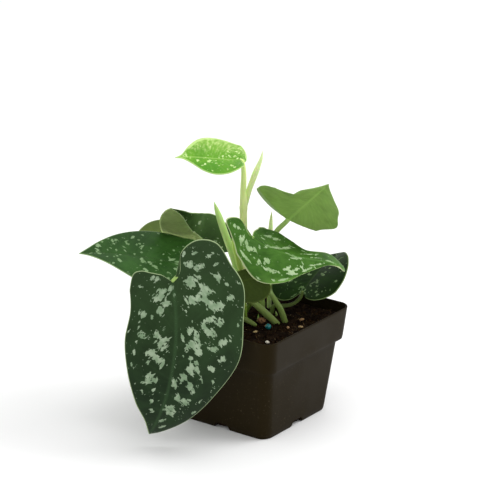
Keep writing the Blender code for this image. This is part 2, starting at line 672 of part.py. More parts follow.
def main():
    clear_scene()
    group = new_collection("satin_pothos_in_pot")
    cutters = new_collection("cutters")
    make_pot(group, cutters)
    stalks = {name: grown_stalk(stalk) for name, stalk in STALKS.items()}
    sockets = [(points, radii[0]) for name, (points, radii) in stalks.items() if "stands" not in STALKS[name]]
    make_soil(group, cutters, sockets)
    for name, leaf in LEAVES.items():
        make_leaf(name, grown_leaf(leaf), LEAF_COLOURS[name], group)
    for name, (points, radii) in stalks.items():
        make_stalk(name, points, radii, STALKS[name]["colour"], group)
    for name, place, size, turn, colour in BITS:
        spot = [step * PLANT_SIZE for step in place]
        make_bit(name, spot, [side * PLANT_SIZE for side in size], turn, colour, group)


main()
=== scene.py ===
from math import cos, pi, radians, sin

import bmesh
import bpy
import numpy as np
from mathutils import Matrix, Vector, noise


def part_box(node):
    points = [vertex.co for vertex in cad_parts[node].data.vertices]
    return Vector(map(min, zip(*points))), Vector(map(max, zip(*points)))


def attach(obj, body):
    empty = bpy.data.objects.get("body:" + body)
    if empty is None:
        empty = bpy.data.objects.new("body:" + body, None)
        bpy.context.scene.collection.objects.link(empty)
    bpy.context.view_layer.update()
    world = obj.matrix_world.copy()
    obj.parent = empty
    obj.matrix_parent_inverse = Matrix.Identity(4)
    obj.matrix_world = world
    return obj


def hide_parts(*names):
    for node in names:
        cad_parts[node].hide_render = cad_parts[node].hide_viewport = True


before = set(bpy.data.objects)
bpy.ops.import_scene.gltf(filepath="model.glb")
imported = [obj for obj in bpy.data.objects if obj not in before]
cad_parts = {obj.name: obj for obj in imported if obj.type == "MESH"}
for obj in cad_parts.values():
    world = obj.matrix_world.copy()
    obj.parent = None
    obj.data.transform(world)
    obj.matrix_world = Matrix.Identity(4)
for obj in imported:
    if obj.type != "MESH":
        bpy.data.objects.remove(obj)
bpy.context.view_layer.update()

pot_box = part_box("pot")

# ---------------------------------------------------------------- sizes

POT_HEIGHT = pot_box[1][2]
POT_HALF_TOP = pot_box[1][0]
POT_HALF_BAND_FOOT = 0.0484
POT_HALF_UNDER_BAND = 0.0447
POT_HALF_FOOT = 0.0384
BAND_DEPTH = 0.0241
WALL = 0.0013
FLOOR = 0.0016
CORNER_TOP = 0.0098
CORNER_FOOT = 0.0082
SOIL_HEIGHT = 0.0720
CORNER_UNDER_BAND = CORNER_TOP - 0.0022
MIDDLE_RING = 0.03
LIP = 0.0005
DRAIN_SLOT = (0.0165, 0.020, 0.0084)
DRAIN_SLOT_TOP_SHARE = 0.68
SOIL_GAP = 0.0003

LEAF_THICKNESS = 0.00055
LEAF_ROWS = 110
LEAF_COLUMNS = 44
MIDRIB_STEPS = 96
SIDE_VEINS = 13.0
VEIN_LEAN = 0.25
VEIN_SLANT = radians(38)
QUILT_RISE = 0.00012
MIDRIB_GROOVE = 0.00035
MIDRIB_RIDGE = 0.00075
EDGE_ROLL = 0.00025

# The edge of a usual leaf in blade lengths, from the notch round one lobe to the tip.
USUAL_EDGE = [
    (0.0, 0.0), (-0.07, 0.035), (-0.17, 0.09), (-0.225, 0.18), (-0.21, 0.28), (-0.12, 0.37), (0.02, 0.425),
    (0.2, 0.45), (0.4, 0.415), (0.6, 0.32), (0.78, 0.185), (0.91, 0.07), (1.0, 0.0),
]

# Each leaf starts where its stalk meets it and points along heading and pitch, in degrees. Droop bends the
# tip down and sweep bends it sideways, each (early, late); twist turns it evenly along its length. Fold and
# curl raise the two halves from the midrib, each ((left at base, left at tip), (right at base, right at
# tip)).
LEAVES = {
    "leaf_front": dict(
        base=(-0.0017, -0.0924, 0.1282), heading=-30, pitch=-61, roll=3,
        length=0.13, half_l=0.0502, half_r=0.0372, droop=(35, 39),
        sweep=(15, -1), twist=7,
        fold=((3, -5), (-14, -8)),
        curl=((-1, -28), (-28, -17)),
        lobe_lift=35, lobe_l=0.95, lobe_r=0.66,
        edge_l=[
            (0.0, 0.0), (-0.05, 0.05), (-0.17, 0.06), (-0.23, 0.16), (-0.19, 0.29), (-0.05, 0.38),
            (0.07, 0.45), (0.23, 0.44), (0.44, 0.44), (0.64, 0.34), (0.84, 0.22), (0.96, 0.08), (1.0, 0.0),
        ],
        edge_r=[
            (0.0, 0.0), (-0.07, 0.08), (-0.09, 0.12), (-0.12, 0.19), (-0.15, 0.26), (-0.14, 0.33),
            (-0.04, 0.36), (0.13, 0.38), (0.34, 0.43), (0.55, 0.37), (0.74, 0.24), (0.87, 0.1), (1.0, 0.0),
        ],
    ),
    "leaf_left": dict(
        base=(-0.025, -0.0532, 0.1242), heading=-144, pitch=12, roll=-17,
        length=0.0714, half_l=0.0304, half_r=0.0344, droop=(-3, 14),
        sweep=(-5, -6), twist=7,
        fold=((0, 15), (5, 10)),
        curl=((-22, -13), (-14, -14)),
        lobe_lift=17, lobe_l=1.01, lobe_r=1.0,
    ),
    "leaf_folded": dict(
        base=(-0.0371, -0.0104, 0.1161), heading=204, pitch=-10, roll=-16,
        length=0.0818, half_l=0.0276, half_r=0.0283, droop=(-115, -23),
        sweep=(-7, -25), twist=-30,
        fold=((56, 105), (36, 53)),
        curl=((36, 20), (-7, 9)),
        lobe_lift=-6, lobe_l=0.31, lobe_r=0.98,
        edge_l=[
            (0.0, 0.0), (-0.04, 0.05), (-0.11, 0.13), (-0.16, 0.21), (-0.22, 0.3), (-0.14, 0.38),
            (0.01, 0.43), (0.19, 0.39), (0.4, 0.37), (0.61, 0.33), (0.82, 0.24), (0.96, 0.1), (1.0, 0.0),
        ],
        edge_r=[
            (0.0, 0.0), (-0.17, 0.02), (-0.29, 0.05), (-0.28, 0.14), (-0.27, 0.27), (-0.19, 0.40),
            (-0.05, 0.51), (0.18, 0.47), (0.39, 0.4), (0.59, 0.32), (0.78, 0.19), (0.91, 0.07), (1.0, 0.0),
        ],
    ),
    "leaf_rear_left": dict(
        base=(-0.0627, 0.0053, 0.1144), heading=-129, pitch=26, roll=18,
        length=0.0424, half_l=0.02, half_r=0.0268, droop=(10, 13),
        sweep=(-3, -2), twist=-9,
        fold=((8, 8), (27, 17)),
        curl=((-10, -10), (11, -1)),
        lobe_lift=5, lobe_l=1.0, lobe_r=1.0,
    ),
    "leaf_middle": dict(
        base=(0.0139, -0.0207, 0.1431), heading=12, pitch=-34, roll=15,
        length=0.0919, half_l=0.0314, half_r=0.0223, droop=(-27, 86),
        sweep=(-53, -20), twist=-2,
        fold=((-33, -1), (-8, -56)),
        curl=((17, -29), (-22, -47)),
        lobe_lift=29, lobe_l=1.0, lobe_r=1.0,
        edge_l=[
            (0.0, 0.0), (-0.01, 0.04), (-0.03, 0.11), (-0.04, 0.19), (-0.04, 0.28), (-0.04, 0.35),
            (0.01, 0.46), (0.18, 0.5), (0.35, 0.39), (0.49, 0.19), (0.75, 0.18), (0.89, 0.12), (1.0, 0.0),
        ],
        edge_r=[
            (0.0, 0.0), (-0.04, 0.04), (-0.18, 0.04), (-0.25, 0.24), (-0.15, 0.29), (-0.07, 0.32),
            (0.03, 0.39), (0.17, 0.52), (0.32, 0.41), (0.44, 0.23), (0.65, 0.05), (0.91, 0.04), (1.0, 0.0),
        ],
    ),
    "leaf_right": dict(
        base=(0.0216, 0.0301, 0.0886), heading=97, pitch=25, roll=-6,
        length=0.0583, half_l=0.0266, half_r=0.0307, droop=(11, 15),
        sweep=(2, -2), twist=-10,
        fold=((14, 8), (12, 19)),
        curl=((0, -10), (-11, 1)),
        lobe_lift=-3, lobe_l=0.98, lobe_r=0.68,
    ),
    "leaf_under": dict(
        base=(0.0234, -0.0224, 0.1159), heading=226, pitch=-2, roll=84,
        length=0.0345, half_l=0.0103, half_r=0.0187, droop=(10, 8),
        sweep=(8, 3), twist=4,
        fold=((-8, 7), (4, 2)),
        curl=((-27, -12), (-18, -16)),
        lobe_lift=-11, lobe_l=1.0, lobe_r=0.78,
    ),
    "leaf_top": dict(
        base=(-0.007, -0.0057, 0.1914), heading=-143, pitch=0, roll=-13,
        length=0.0467, half_l=0.0236, half_r=0.0263, droop=(-16, 16),
        sweep=(-4, -3), twist=-8,
        fold=((26, 6), (9, 15)),
        curl=((-17, -31), (-30, -1)),
        lobe_lift=-47, lobe_l=0.29, lobe_r=0.6,
        edge_l=[
            (0.0, 0.0), (-0.14, 0.02), (-0.22, 0.07), (-0.24, 0.17), (-0.19, 0.27), (-0.1, 0.35),
            (0.02, 0.43), (0.19, 0.48), (0.41, 0.44), (0.6, 0.32), (0.76, 0.15), (0.89, 0.03), (1.0, 0.0),
        ],
        edge_r=[
            (0.0, 0.0), (-0.13, 0.02), (-0.2, 0.08), (-0.22, 0.18), (-0.2, 0.28), (-0.12, 0.37),
            (0.03, 0.41), (0.21, 0.45), (0.4, 0.42), (0.61, 0.33), (0.78, 0.18), (0.89, 0.05), (1.0, 0.0),
        ],
    ),
    "leaf_upper_right": dict(
        base=(0.0140, 0.0223, 0.1438), heading=7, pitch=46, roll=-58,
        length=0.0817, half_l=0.0283, half_r=0.0268, droop=(31, 15),
        sweep=(13, 10), twist=2,
        fold=((8, -42), (9, -37)),
        curl=((15, -22), (25, -20)),
        lobe_lift=53, lobe_l=0.96, lobe_r=0.95,
        edge_l=[
            (0.0, 0.0), (-0.07, 0.04), (-0.16, 0.1), (-0.21, 0.18), (-0.19, 0.29), (-0.15, 0.39),
            (0.02, 0.41), (0.14, 0.51), (0.36, 0.38), (0.6, 0.29), (0.76, 0.16), (0.88, 0.05), (1.0, 0.0),
        ],
        edge_r=[
            (0.0, 0.0), (-0.06, 0.04), (-0.15, 0.08), (-0.21, 0.15), (-0.21, 0.26), (-0.14, 0.44),
            (0.02, 0.53), (0.23, 0.43), (0.26, 0.23), (0.6, 0.22), (0.78, 0.17), (0.91, 0.07), (1.0, 0.0),
        ],
    ),
}

# Round stalks and rolled young leaves: places along each and its radius there.
STALKS = {
    "stem_top": dict(
        points=[
            (-0.0179, 0.0111, 0.0720), (-0.0170, 0.0111, 0.0869), (-0.0162, 0.0105, 0.1102),
            (-0.0148, 0.0078, 0.1401), (-0.0132, 0.0057, 0.1545), (-0.0121, 0.0039, 0.1656),
            (-0.0093, 0.0006, 0.1779), (-0.0069, -0.0035, 0.1877),
        ],
        radii=[0.0026, 0.0027, 0.0027, 0.0027, 0.0027, 0.0022, 0.0019, 0.0015],
    ),
    "sheath_top": dict(
        points=[
            (-0.0120, 0.0098, 0.1588), (-0.0103, 0.0091, 0.1661), (-0.0075, 0.0088, 0.1730),
            (-0.0045, 0.0084, 0.1797), (-0.0017, 0.0083, 0.1858), (0.0006, 0.0081, 0.1914),
            (0.0020, 0.0076, 0.1968),
        ],
        radii=[0.0013, 0.0019, 0.0022, 0.0022, 0.0016, 0.0010, 0.0002],
    ),
    "stalk_front": dict(
        points=[
            (0.0176, 0.0040, 0.0706), (0.0137, -0.0030, 0.0795), (0.0095, -0.0129, 0.0903),
            (0.0016, -0.0236, 0.1032), (-0.0042, -0.0415, 0.1193), (-0.0014, -0.0679, 0.1330),
            (0.0006, -0.0857, 0.1326),
        ],
        radii=[0.0025, 0.0025, 0.0023, 0.0019, 0.0016, 0.0014, 0.0012],
    ),
    "stalk_left": dict(
        points=[
            (-0.0189, 0.0016, 0.0716), (-0.0192, -0.0004, 0.0838), (-0.0201, -0.0110, 0.1006),
            (-0.0225, -0.0289, 0.1137), (-0.0243, -0.0450, 0.1201),
        ],
        radii=[0.0018, 0.0017, 0.0015, 0.0014, 0.0012],
    ),
    "stalk_folded": dict(
        points=[
            (-0.0276, 0.0145, 0.0726), (-0.0286, 0.0111, 0.0834), (-0.0315, 0.0055, 0.0959),
            (-0.0349, -0.0017, 0.1063), (-0.0364, -0.0067, 0.1120),
        ],
        radii=[0.0018, 0.0017, 0.0015, 0.0013, 0.0012],
    ),
    "stalk_rear_left": dict(
        points=[
            (-0.0370, 0.0175, 0.0711), (-0.0415, 0.0163, 0.0843), (-0.0518, 0.0146, 0.0995),
            (-0.0594, 0.0080, 0.1114),
        ],
        radii=[0.0016, 0.0014, 0.0013, 0.0011],
    ),
    "stalk_middle": dict(
        points=[
            (0.0216, 0.0090, 0.0704), (0.0197, 0.0057, 0.0815), (0.0174, 0.0016, 0.0899),
            (0.0157, -0.0046, 0.1005), (0.0147, -0.0116, 0.1145), (0.0136, -0.0173, 0.1286),
            (0.0130, -0.0196, 0.1389),
        ],
        radii=[0.0021, 0.0020, 0.0018, 0.0016, 0.0015, 0.0014, 0.0013],
    ),
    "stalk_right": dict(
        points=[
            (0.0025, 0.0174, 0.0693), (0.0040, 0.0190, 0.0768), (0.0104, 0.0225, 0.0772),
            (0.0156, 0.0263, 0.0788), (0.0191, 0.0286, 0.0823), (0.0210, 0.0296, 0.0863),
        ],
        radii=[0.0016, 0.0015, 0.0014, 0.0013, 0.0013, 0.0012],
    ),
    "stalk_under": dict(
        points=[
            (-0.0122, 0.0041, 0.0709), (-0.0058, 0.0032, 0.0803), (0.0047, -0.0040, 0.0941),
            (0.0153, -0.0124, 0.1081), (0.0217, -0.0194, 0.1150),
        ],
        radii=[0.0016, 0.0015, 0.0014, 0.0012, 0.0010],
    ),
    "stalk_upper_right": dict(
        points=[
            (-0.0033, 0.0156, 0.0701), (-0.0053, 0.0172, 0.0876), (-0.0036, 0.0172, 0.1094),
            (0.0016, 0.0173, 0.1249), (0.0067, 0.0186, 0.1347), (0.0122, 0.0207, 0.1413),
        ],
        radii=[0.0019, 0.0018, 0.0018, 0.0018, 0.0018, 0.0017],
    ),
    "shoot_small": dict(
        points=[
            (-0.0039, 0.0238, 0.0697), (-0.0039, 0.0238, 0.0859), (-0.0033, 0.0238, 0.1090),
            (-0.0027, 0.0237, 0.1305), (-0.0022, 0.0236, 0.1397), (-0.0016, 0.0236, 0.1466),
        ],
        radii=[0.0016, 0.0018, 0.0019, 0.0018, 0.0012, 0.0002],
    ),
    "shoot_tall": dict(
        points=[
            (-0.0130, -0.0039, 0.0709), (-0.0109, -0.0043, 0.0838), (-0.0090, -0.0063, 0.0986),
            (-0.0088, -0.0089, 0.1115), (-0.0106, -0.0115, 0.1222), (-0.0132, -0.0141, 0.1332),
            (-0.0156, -0.0166, 0.1439), (-0.0171, -0.0185, 0.1515), (-0.0183, -0.0200, 0.1573),
            (-0.0190, -0.0214, 0.1628),
        ],
        radii=[0.0023, 0.0024, 0.0026, 0.0028, 0.0027, 0.0026, 0.0025, 0.0022, 0.0014, 0.0002],
    ),
    "shoot_short": dict(
        points=[
            (-0.0072, -0.0016, 0.0723), (-0.0036, -0.0076, 0.0849), (-0.0032, -0.0097, 0.1009),
            (-0.0032, -0.0123, 0.1133), (-0.0039, -0.0134, 0.1189), (-0.0048, -0.0144, 0.1243),
            (-0.0058, -0.0154, 0.1299), (-0.0065, -0.0161, 0.1352), (-0.0067, -0.0163, 0.1397),
        ],
        radii=[0.0020, 0.0020, 0.0021, 0.0021, 0.0020, 0.0018, 0.0015, 0.0010, 0.0002],
    ),
    "stem_low": dict(
        points=[
            (-0.0085, -0.0070, 0.0752), (-0.0020, -0.0100, 0.0754), (0.0060, -0.0130, 0.0752),
            (0.0125, -0.0150, 0.0748),
        ],
        radii=[0.0014, 0.0019, 0.0018, 0.0012],
    ),
    "shoot_low": dict(
        points=[(0.0060, -0.0030, 0.0700), (0.0062, -0.0032, 0.0740), (0.0066, -0.0034, 0.0785)],
        radii=[0.0012, 0.0010, 0.0002],
    ),
    "shoot_rear": dict(
        points=[(0.0110, 0.0128, 0.0700), (0.0108, 0.0126, 0.0735), (0.0104, 0.0122, 0.0765)],
        radii=[0.0011, 0.0009, 0.0002],
    ),
}

# Silver patches: place of the middle on the flat blade, half length, half width (all mm) and tilt in degrees.
SILVER_FRONT = [
    (-4.5, 11.9, 4.0, 2.1, -58), (-0.9, 21.9, 1.8, 1.5, -76), (5.3, 7.5, 3.6, 2.4, 77),
    (10.1, 11.3, 4.9, 4.2, 56), (15.2, 5.4, 3.0, 2.7, -82), (19.8, 10.6, 3.5, 2.2, -14),
    (23.8, 16.1, 2.2, 1.4, 38), (4.4, 1.3, 2.1, 1.5, 54), (21.0, 23.1, 3.0, 2.6, -64),
    (37.6, 23.2, 3.5, 2.8, -50), (32.5, 25.9, 2.1, 0.9, 21), (37.7, 13.0, 3.5, 2.4, -13),
    (43.7, 9.3, 4.4, 3.9, 53), (51.7, 16.9, 3.7, 3.1, 49), (55.3, 11.3, 3.9, 3.1, 81),
    (59.2, 17.4, 3.0, 1.2, 15), (52.4, 27.9, 3.7, 1.2, 2), (63.9, 28.5, 2.5, 0.9, -16),
    (72.8, 15.1, 5.8, 2.9, 18), (59.4, 7.4, 3.8, 1.2, 18), (72.8, 9.8, 3.6, 0.9, 11),
    (81.6, 9.9, 3.1, 1.4, 7), (90.9, 9.1, 2.7, 1.3, -2), (99.8, 6.8, 1.9, 2.1, 68),
    (85.0, 16.9, 1.6, 0.7, -24), (33.2, 8.7, 1.9, 1.1, 39), (-19.7, -8.3, 2.1, 1.0, 11),
    (-23.1, -16.0, 1.8, 1.2, -81), (-18.6, -16.2, 2.4, 1.2, 72), (-14.7, -26.2, 3.6, 1.8, 55),
    (-11.4, -11.7, 3.6, 3.3, -79), (-7.6, -18.9, 4.2, 2.9, 88), (2.3, -13.6, 5.4, 3.5, 74),
    (-0.1, -18.3, 2.6, 1.9, 56), (7.1, -21.6, 5.1, 2.2, -53), (10.5, -24.3, 3.0, 2.5, -84),
    (13.8, -11.9, 5.0, 3.0, -85), (13.5, -16.1, 2.4, 3.0, -85), (14.8, -21.9, 5.2, 1.7, -38),
    (18.5, -25.9, 3.9, 3.0, -50), (19.7, -30.7, 4.8, 2.6, 63), (2.2, -32.3, 3.3, 2.1, -11),
    (15.5, -40.0, 2.6, 2.0, -83), (27.7, -23.1, 4.4, 2.2, -87), (29.4, -31.2, 4.0, 2.9, -80),
    (32.8, -20.3, 3.5, 2.0, -36), (36.3, -25.9, 4.1, 2.9, -33), (34.6, -10.2, 3.6, 2.1, -50),
    (38.4, -14.4, 5.3, 2.5, -20), (44.0, -13.0, 4.9, 2.9, -78), (49.3, -16.6, 4.8, 2.6, -36),
    (39.0, -4.5, 3.8, 1.1, -22), (47.2, -27.5, 4.8, 2.1, -78), (42.8, -34.7, 3.6, 2.7, 72),
    (41.2, -39.4, 2.0, 0.9, -27), (54.5, -36.4, 2.5, 2.3, -83), (61.4, -14.7, 5.0, 4.9, 57),
    (61.8, -28.5, 3.4, 1.8, -61), (70.9, -22.8, 3.0, 0.9, -25), (71.7, -31.7, 2.8, 1.5, 5),
    (68.6, -8.3, 3.8, 3.9, 66), (71.9, -2.9, 4.8, 1.5, -20), (75.6, -14.5, 4.2, 2.6, -37),
    (79.0, -18.5, 3.9, 2.0, -3), (85.0, -8.2, 4.2, 1.8, -23), (89.6, -15.1, 5.3, 3.3, -66),
    (97.1, -6.4, 6.0, 3.3, -35), (89.6, -26.5, 1.7, 1.4, -85), (101.1, -24.8, 1.9, 1.5, 29),
    (108.8, -3.5, 2.6, 1.4, 51), (117.0, -6.0, 2.9, 1.2, 50), (48.0, -8.0, 2.5, 1.1, -25),
    (53.3, -11.8, 2.4, 1.5, -89), (32.6, -44.7, 1.4, 1.0, -20), (7.0, -38.0, 1.5, 1.1, -42),
    (-8.0, -31.6, 1.6, 1.1, 63), (9.6, 0.1, 1.6, 0.8, 27), (21.3, -7.2, 1.3, 0.7, -32),
]
SILVER_MIDDLE = [
    (-14.1, 8.1, 4.5, 1.2, -30), (-2.2, 8.5, 4.7, 2.9, -20), (4.1, 8.4, 3.3, 2.2, -28),
    (4.3, 15.9, 5.2, 0.8, 17), (10.4, 23.2, 1.6, 0.6, 12), (15.1, 24.0, 1.1, 0.9, -12),
    (13.1, 13.8, 3.0, 2.3, -22), (15.3, 11.0, 2.9, 2.0, -59), (17.6, 15.3, 3.4, 1.6, 1),
    (22.8, 15.0, 4.2, 1.2, -20), (7.7, -21.0, 6.6, 1.7, -48), (16.2, -21.6, 4.0, 2.3, -16),
    (6.4, -11.5, 2.6, 1.3, 4), (19.3, -5.8, 6.3, 2.3, -35), (25.7, -9.8, 5.1, 1.9, -28),
    (11.9, -0.4, 3.1, 1.3, -70), (31.8, 0.2, 4.9, 0.8, 12), (34.8, 1.3, 5.9, 0.7, -12),
    (47.5, -6.7, 8.6, 0.6, -11), (29.3, 10.1, 2.9, 1.2, -37), (34.7, 9.6, 4.7, 1.4, -40),
    (33.3, 12.7, 3.2, 1.0, -15), (43.4, 7.6, 3.8, 0.8, -32), (23.9, 20.6, 1.3, 0.9, -19),
    (28.7, 18.4, 3.7, 0.7, -31), (50.7, 2.9, 7.2, 0.6, -16), (63.3, -0.8, 5.1, 0.8, 10),
    (8.7, 12.8, 1.0, 0.6, 25), (32.9, -14.2, 3.4, 0.6, 22), (50.8, -2.6, 5.3, 0.5, -6),
    (42.2, -9.7, 2.0, 0.5, 25),
]


def smooth_curve(points, where):
    """Places along a smooth curve through points, for where in 0 to 1."""
    known = np.asarray(points, float)
    known = np.vstack([2 * known[0] - known[1], known, 2 * known[-1] - known[-2]])
    spans = len(known) - 3
    along = np.clip(np.asarray(where, float), 0, 1) * spans
    first = np.minimum(along.astype(int), spans - 1)
    f = (along - first)[..., None]
    a, b, c, d = known[first], known[first + 1], known[first + 2], known[first + 3]
    return 0.5 * (2 * b + (c - a) * f + (2 * a - 5 * b + 4 * c - d) * f ** 2
                  + (3 * b - a - 3 * c + d) * f ** 3)


def turned(first, second, angle):
    """Both directions turned by angle in their own plane, first towards second."""
    return (first * cos(angle) + second * sin(angle), second * cos(angle) - first * sin(angle))


def midrib_frames(leaf):
    """Place, forward, side and up at equal steps along the midrib."""
    heading, pitch, roll = (radians(leaf[key]) for key in ("heading", "pitch", "roll"))
    forward = np.array([cos(pitch) * cos(heading), cos(pitch) * sin(heading), sin(pitch)])
    side = np.array([sin(heading), -cos(heading), 0.0])
    up = np.cross(side, forward)
    up, side = turned(up, side, roll)
    place = np.array(leaf["base"], float)
    frames = [(place, forward, side, up)]
    for i in range(MIDRIB_STEPS):
        late = (i + 0.5) / MIDRIB_STEPS
        bends = [2 * radians(early * (1 - late) + end * late) / MIDRIB_STEPS
                 for early, end in (leaf["droop"], leaf["sweep"])]
        forward, up = turned(forward, up, -bends[0])
        forward, side = turned(forward, side, bends[1])
        up, side = turned(up, side, radians(leaf["twist"]) / MIDRIB_STEPS)
        place = place + forward * leaf["length"] / MIDRIB_STEPS
        frames.append((place, forward, side, up))
    return [np.array(column) for column in zip(*frames)]


def flat_place(leaf, across, along):
    """Where a blade lies when flat: across is -1 (left edge) to 1, along is 0 (notch) to 1 (tip)."""
    edge = np.where((across > 0)[..., None], smooth_curve(leaf.get("edge_r", USUAL_EDGE), along),
                    smooth_curve(leaf.get("edge_l", USUAL_EDGE), along))
    reach = np.abs(across)
    rib = along ** 1.7
    x = rib + (edge[..., 0] - rib) * reach ** 1.25
    lobe = np.where(across > 0, leaf["lobe_r"], leaf["lobe_l"])
    half = np.where(across > 0, leaf["half_r"], leaf["half_l"]) / 0.45
    return np.where(x < 0, x * lobe, x) * leaf["length"], edge[..., 1] * across * half


def blade_places(leaf, across, along):
    """Bent places of a blade's middle surface."""
    across, along = np.broadcast_arrays(np.asarray(across, float), np.asarray(along, float))
    x, y = flat_place(leaf, across, along)
    spot = np.clip(x / leaf["length"], 0, 1) * MIDRIB_STEPS
    first = np.minimum(spot.astype(int), MIDRIB_STEPS - 1)
    mix = (spot - first)[..., None]
    place, forward, side, up = (column[first] * (1 - mix) + column[first + 1] * mix
                                for column in midrib_frames(leaf))
    behind = np.minimum(x, 0)[..., None]
    lift = radians(leaf["lobe_lift"])
    place = place + forward * behind * cos(lift) - up * behind * sin(lift)
    late = np.clip(x / leaf["length"], 0, 1)
    right = across > 0

    def angle(name):
        (left_base, left_tip), (right_base, right_tip) = leaf[name]
        base = np.where(right, right_base, left_base)
        tip = np.where(right, right_tip, left_tip)
        return np.radians(base + (tip - base) * late)

    reach = np.abs(y)
    half = np.where(right, leaf["half_r"], leaf["half_l"])
    out = np.zeros_like(reach)
    rise = np.zeros_like(reach)
    for j in range(8):
        slope = angle("fold") + angle("curl") * (j + 0.5) / 8 * reach / half
        out += np.cos(slope) * reach / 8
        rise += np.sin(slope) * reach / 8
    return place + side * (out * np.sign(y))[..., None] + up * rise[..., None]


# ---------------------------------------------------------------- mesh helpers

def new_piece(name, verts, faces, materials, face_slots=None):
    """A smooth mesh piece from arrays of places and of quads or triangles."""
    mesh = bpy.data.meshes.new(name)
    mesh.from_pydata([tuple(v) for v in verts], [], [tuple(f) for f in faces])
    for made in materials:
        mesh.materials.append(made)
    if face_slots is not None:
        mesh.polygons.foreach_set("material_index", face_slots)
    mesh.polygons.foreach_set("use_smooth", [True] * len(mesh.polygons))
    mesh.update()
    piece = bpy.data.objects.new(name, mesh)
    bpy.context.scene.collection.objects.link(piece)
    return piece


def add_values(piece, name, values):
    """A number at each vertex, for the materials to read."""
    layer = piece.data.attributes.new(name, "FLOAT", "POINT")
    layer.data.foreach_set("value", np.ascontiguousarray(values, np.float32).ravel())


def add_vectors(piece, name, vectors):
    layer = piece.data.attributes.new(name, "FLOAT_VECTOR", "POINT")
    layer.data.foreach_set("vector", np.ascontiguousarray(vectors, np.float32).ravel())


def tidy_mesh(piece, distance=0.000002):
    """Closes poles and seams and turns every face outward."""
    body = bmesh.new()
    body.from_mesh(piece.data)
    bmesh.ops.remove_doubles(body, verts=body.verts, dist=distance)
    bmesh.ops.dissolve_degenerate(body, edges=body.edges, dist=distance)
    bmesh.ops.recalc_face_normals(body, faces=body.faces)
    body.to_mesh(piece.data)
    body.free()


def declare(piece, slot_name, *nodes):
    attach(piece, "root")
    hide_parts(*nodes)


# ---------------------------------------------------------------- material helpers

def rgb(red, green, blue):
    """A colour named in everyday 0 to 255 steps, as the light it reflects."""
    def linear(step):
        value = step / 255
        return value / 12.92 if value <= 0.04045 else ((value + 0.055) / 1.055) ** 2.4
    return (linear(red), linear(green), linear(blue))


class Graph:
    """Short names for building a node material."""

    def __init__(self, name):
        self.material = bpy.data.materials.new(name)
        self.material.use_nodes = True
        self.tree = self.material.node_tree
        self.shader = self.tree.nodes["Principled BSDF"]

    def node(self, kind, inputs=None, **settings):
        made = self.tree.nodes.new(kind)
        for key, value in settings.items():
            setattr(made, key, value)
        for key, value in (inputs or {}).items():
            self.feed(made.inputs[key], value)
        return made

    def feed(self, socket, value):
        if isinstance(value, bpy.types.NodeSocket):
            self.tree.links.new(value, socket)
        elif socket.type == "RGBA":
            socket.default_value = (*value[:3], 1.0)
        else:
            socket.default_value = value

    def math(self, operation, a, b=0.0, c=0.0):
        return self.node("ShaderNodeMath", {0: a, 1: b, 2: c}, operation=operation).outputs[0]

    def range(self, value, low, high, to_low=0.0, to_high=1.0, smooth=True):
        kind = "SMOOTHSTEP" if smooth else "LINEAR"
        made = self.node("ShaderNodeMapRange", {0: value, 1: low, 2: high, 3: to_low, 4: to_high},
                         interpolation_type=kind)
        return made.outputs[0]

    def mix(self, factor, a, b):
        made = self.node("ShaderNodeMix", data_type="RGBA")
        self.feed(made.inputs[0], factor)
        self.feed(made.inputs[6], a)
        self.feed(made.inputs[7], b)
        return made.outputs[2]

    def value(self, name):
        return self.node("ShaderNodeAttribute", attribute_name=name).outputs["Fac"]

    def vector(self, name):
        return self.node("ShaderNodeAttribute", attribute_name=name).outputs["Vector"]

    def noise(self, vector, scale, detail):
        made = self.node("ShaderNodeTexNoise", {"Vector": vector, "Scale": scale, "Detail": detail,
                                                "Roughness": 0.55})
        return made.outputs["Fac"]

    def cell_middles(self, vector, scale):
        """How far each place is from the middle of its cell."""
        return self.node("ShaderNodeTexVoronoi", {"Vector": vector, "Scale": scale}).outputs["Distance"]

    def cell_chance(self, vector, scale, channel):
        """One chance number for each cell."""
        colour = self.node("ShaderNodeTexVoronoi", {"Vector": vector, "Scale": scale}).outputs["Color"]
        return self.node("ShaderNodeSeparateColor", {0: colour}).outputs[channel]

    def stretch(self, vector, scale):
        made = self.node("ShaderNodeMapping", {"Vector": vector, "Scale": scale})
        return made.outputs[0]

    def bump(self, height, strength, distance):
        made = self.node("ShaderNodeBump", {"Height": height, "Strength": strength, "Distance": distance})
        return made.outputs[0]

    def set(self, **values):
        for key, value in values.items():
            self.feed(self.shader.inputs[key.replace("_", " ")], value)
        return self.material


# ---------------------------------------------------------------- leaf materials

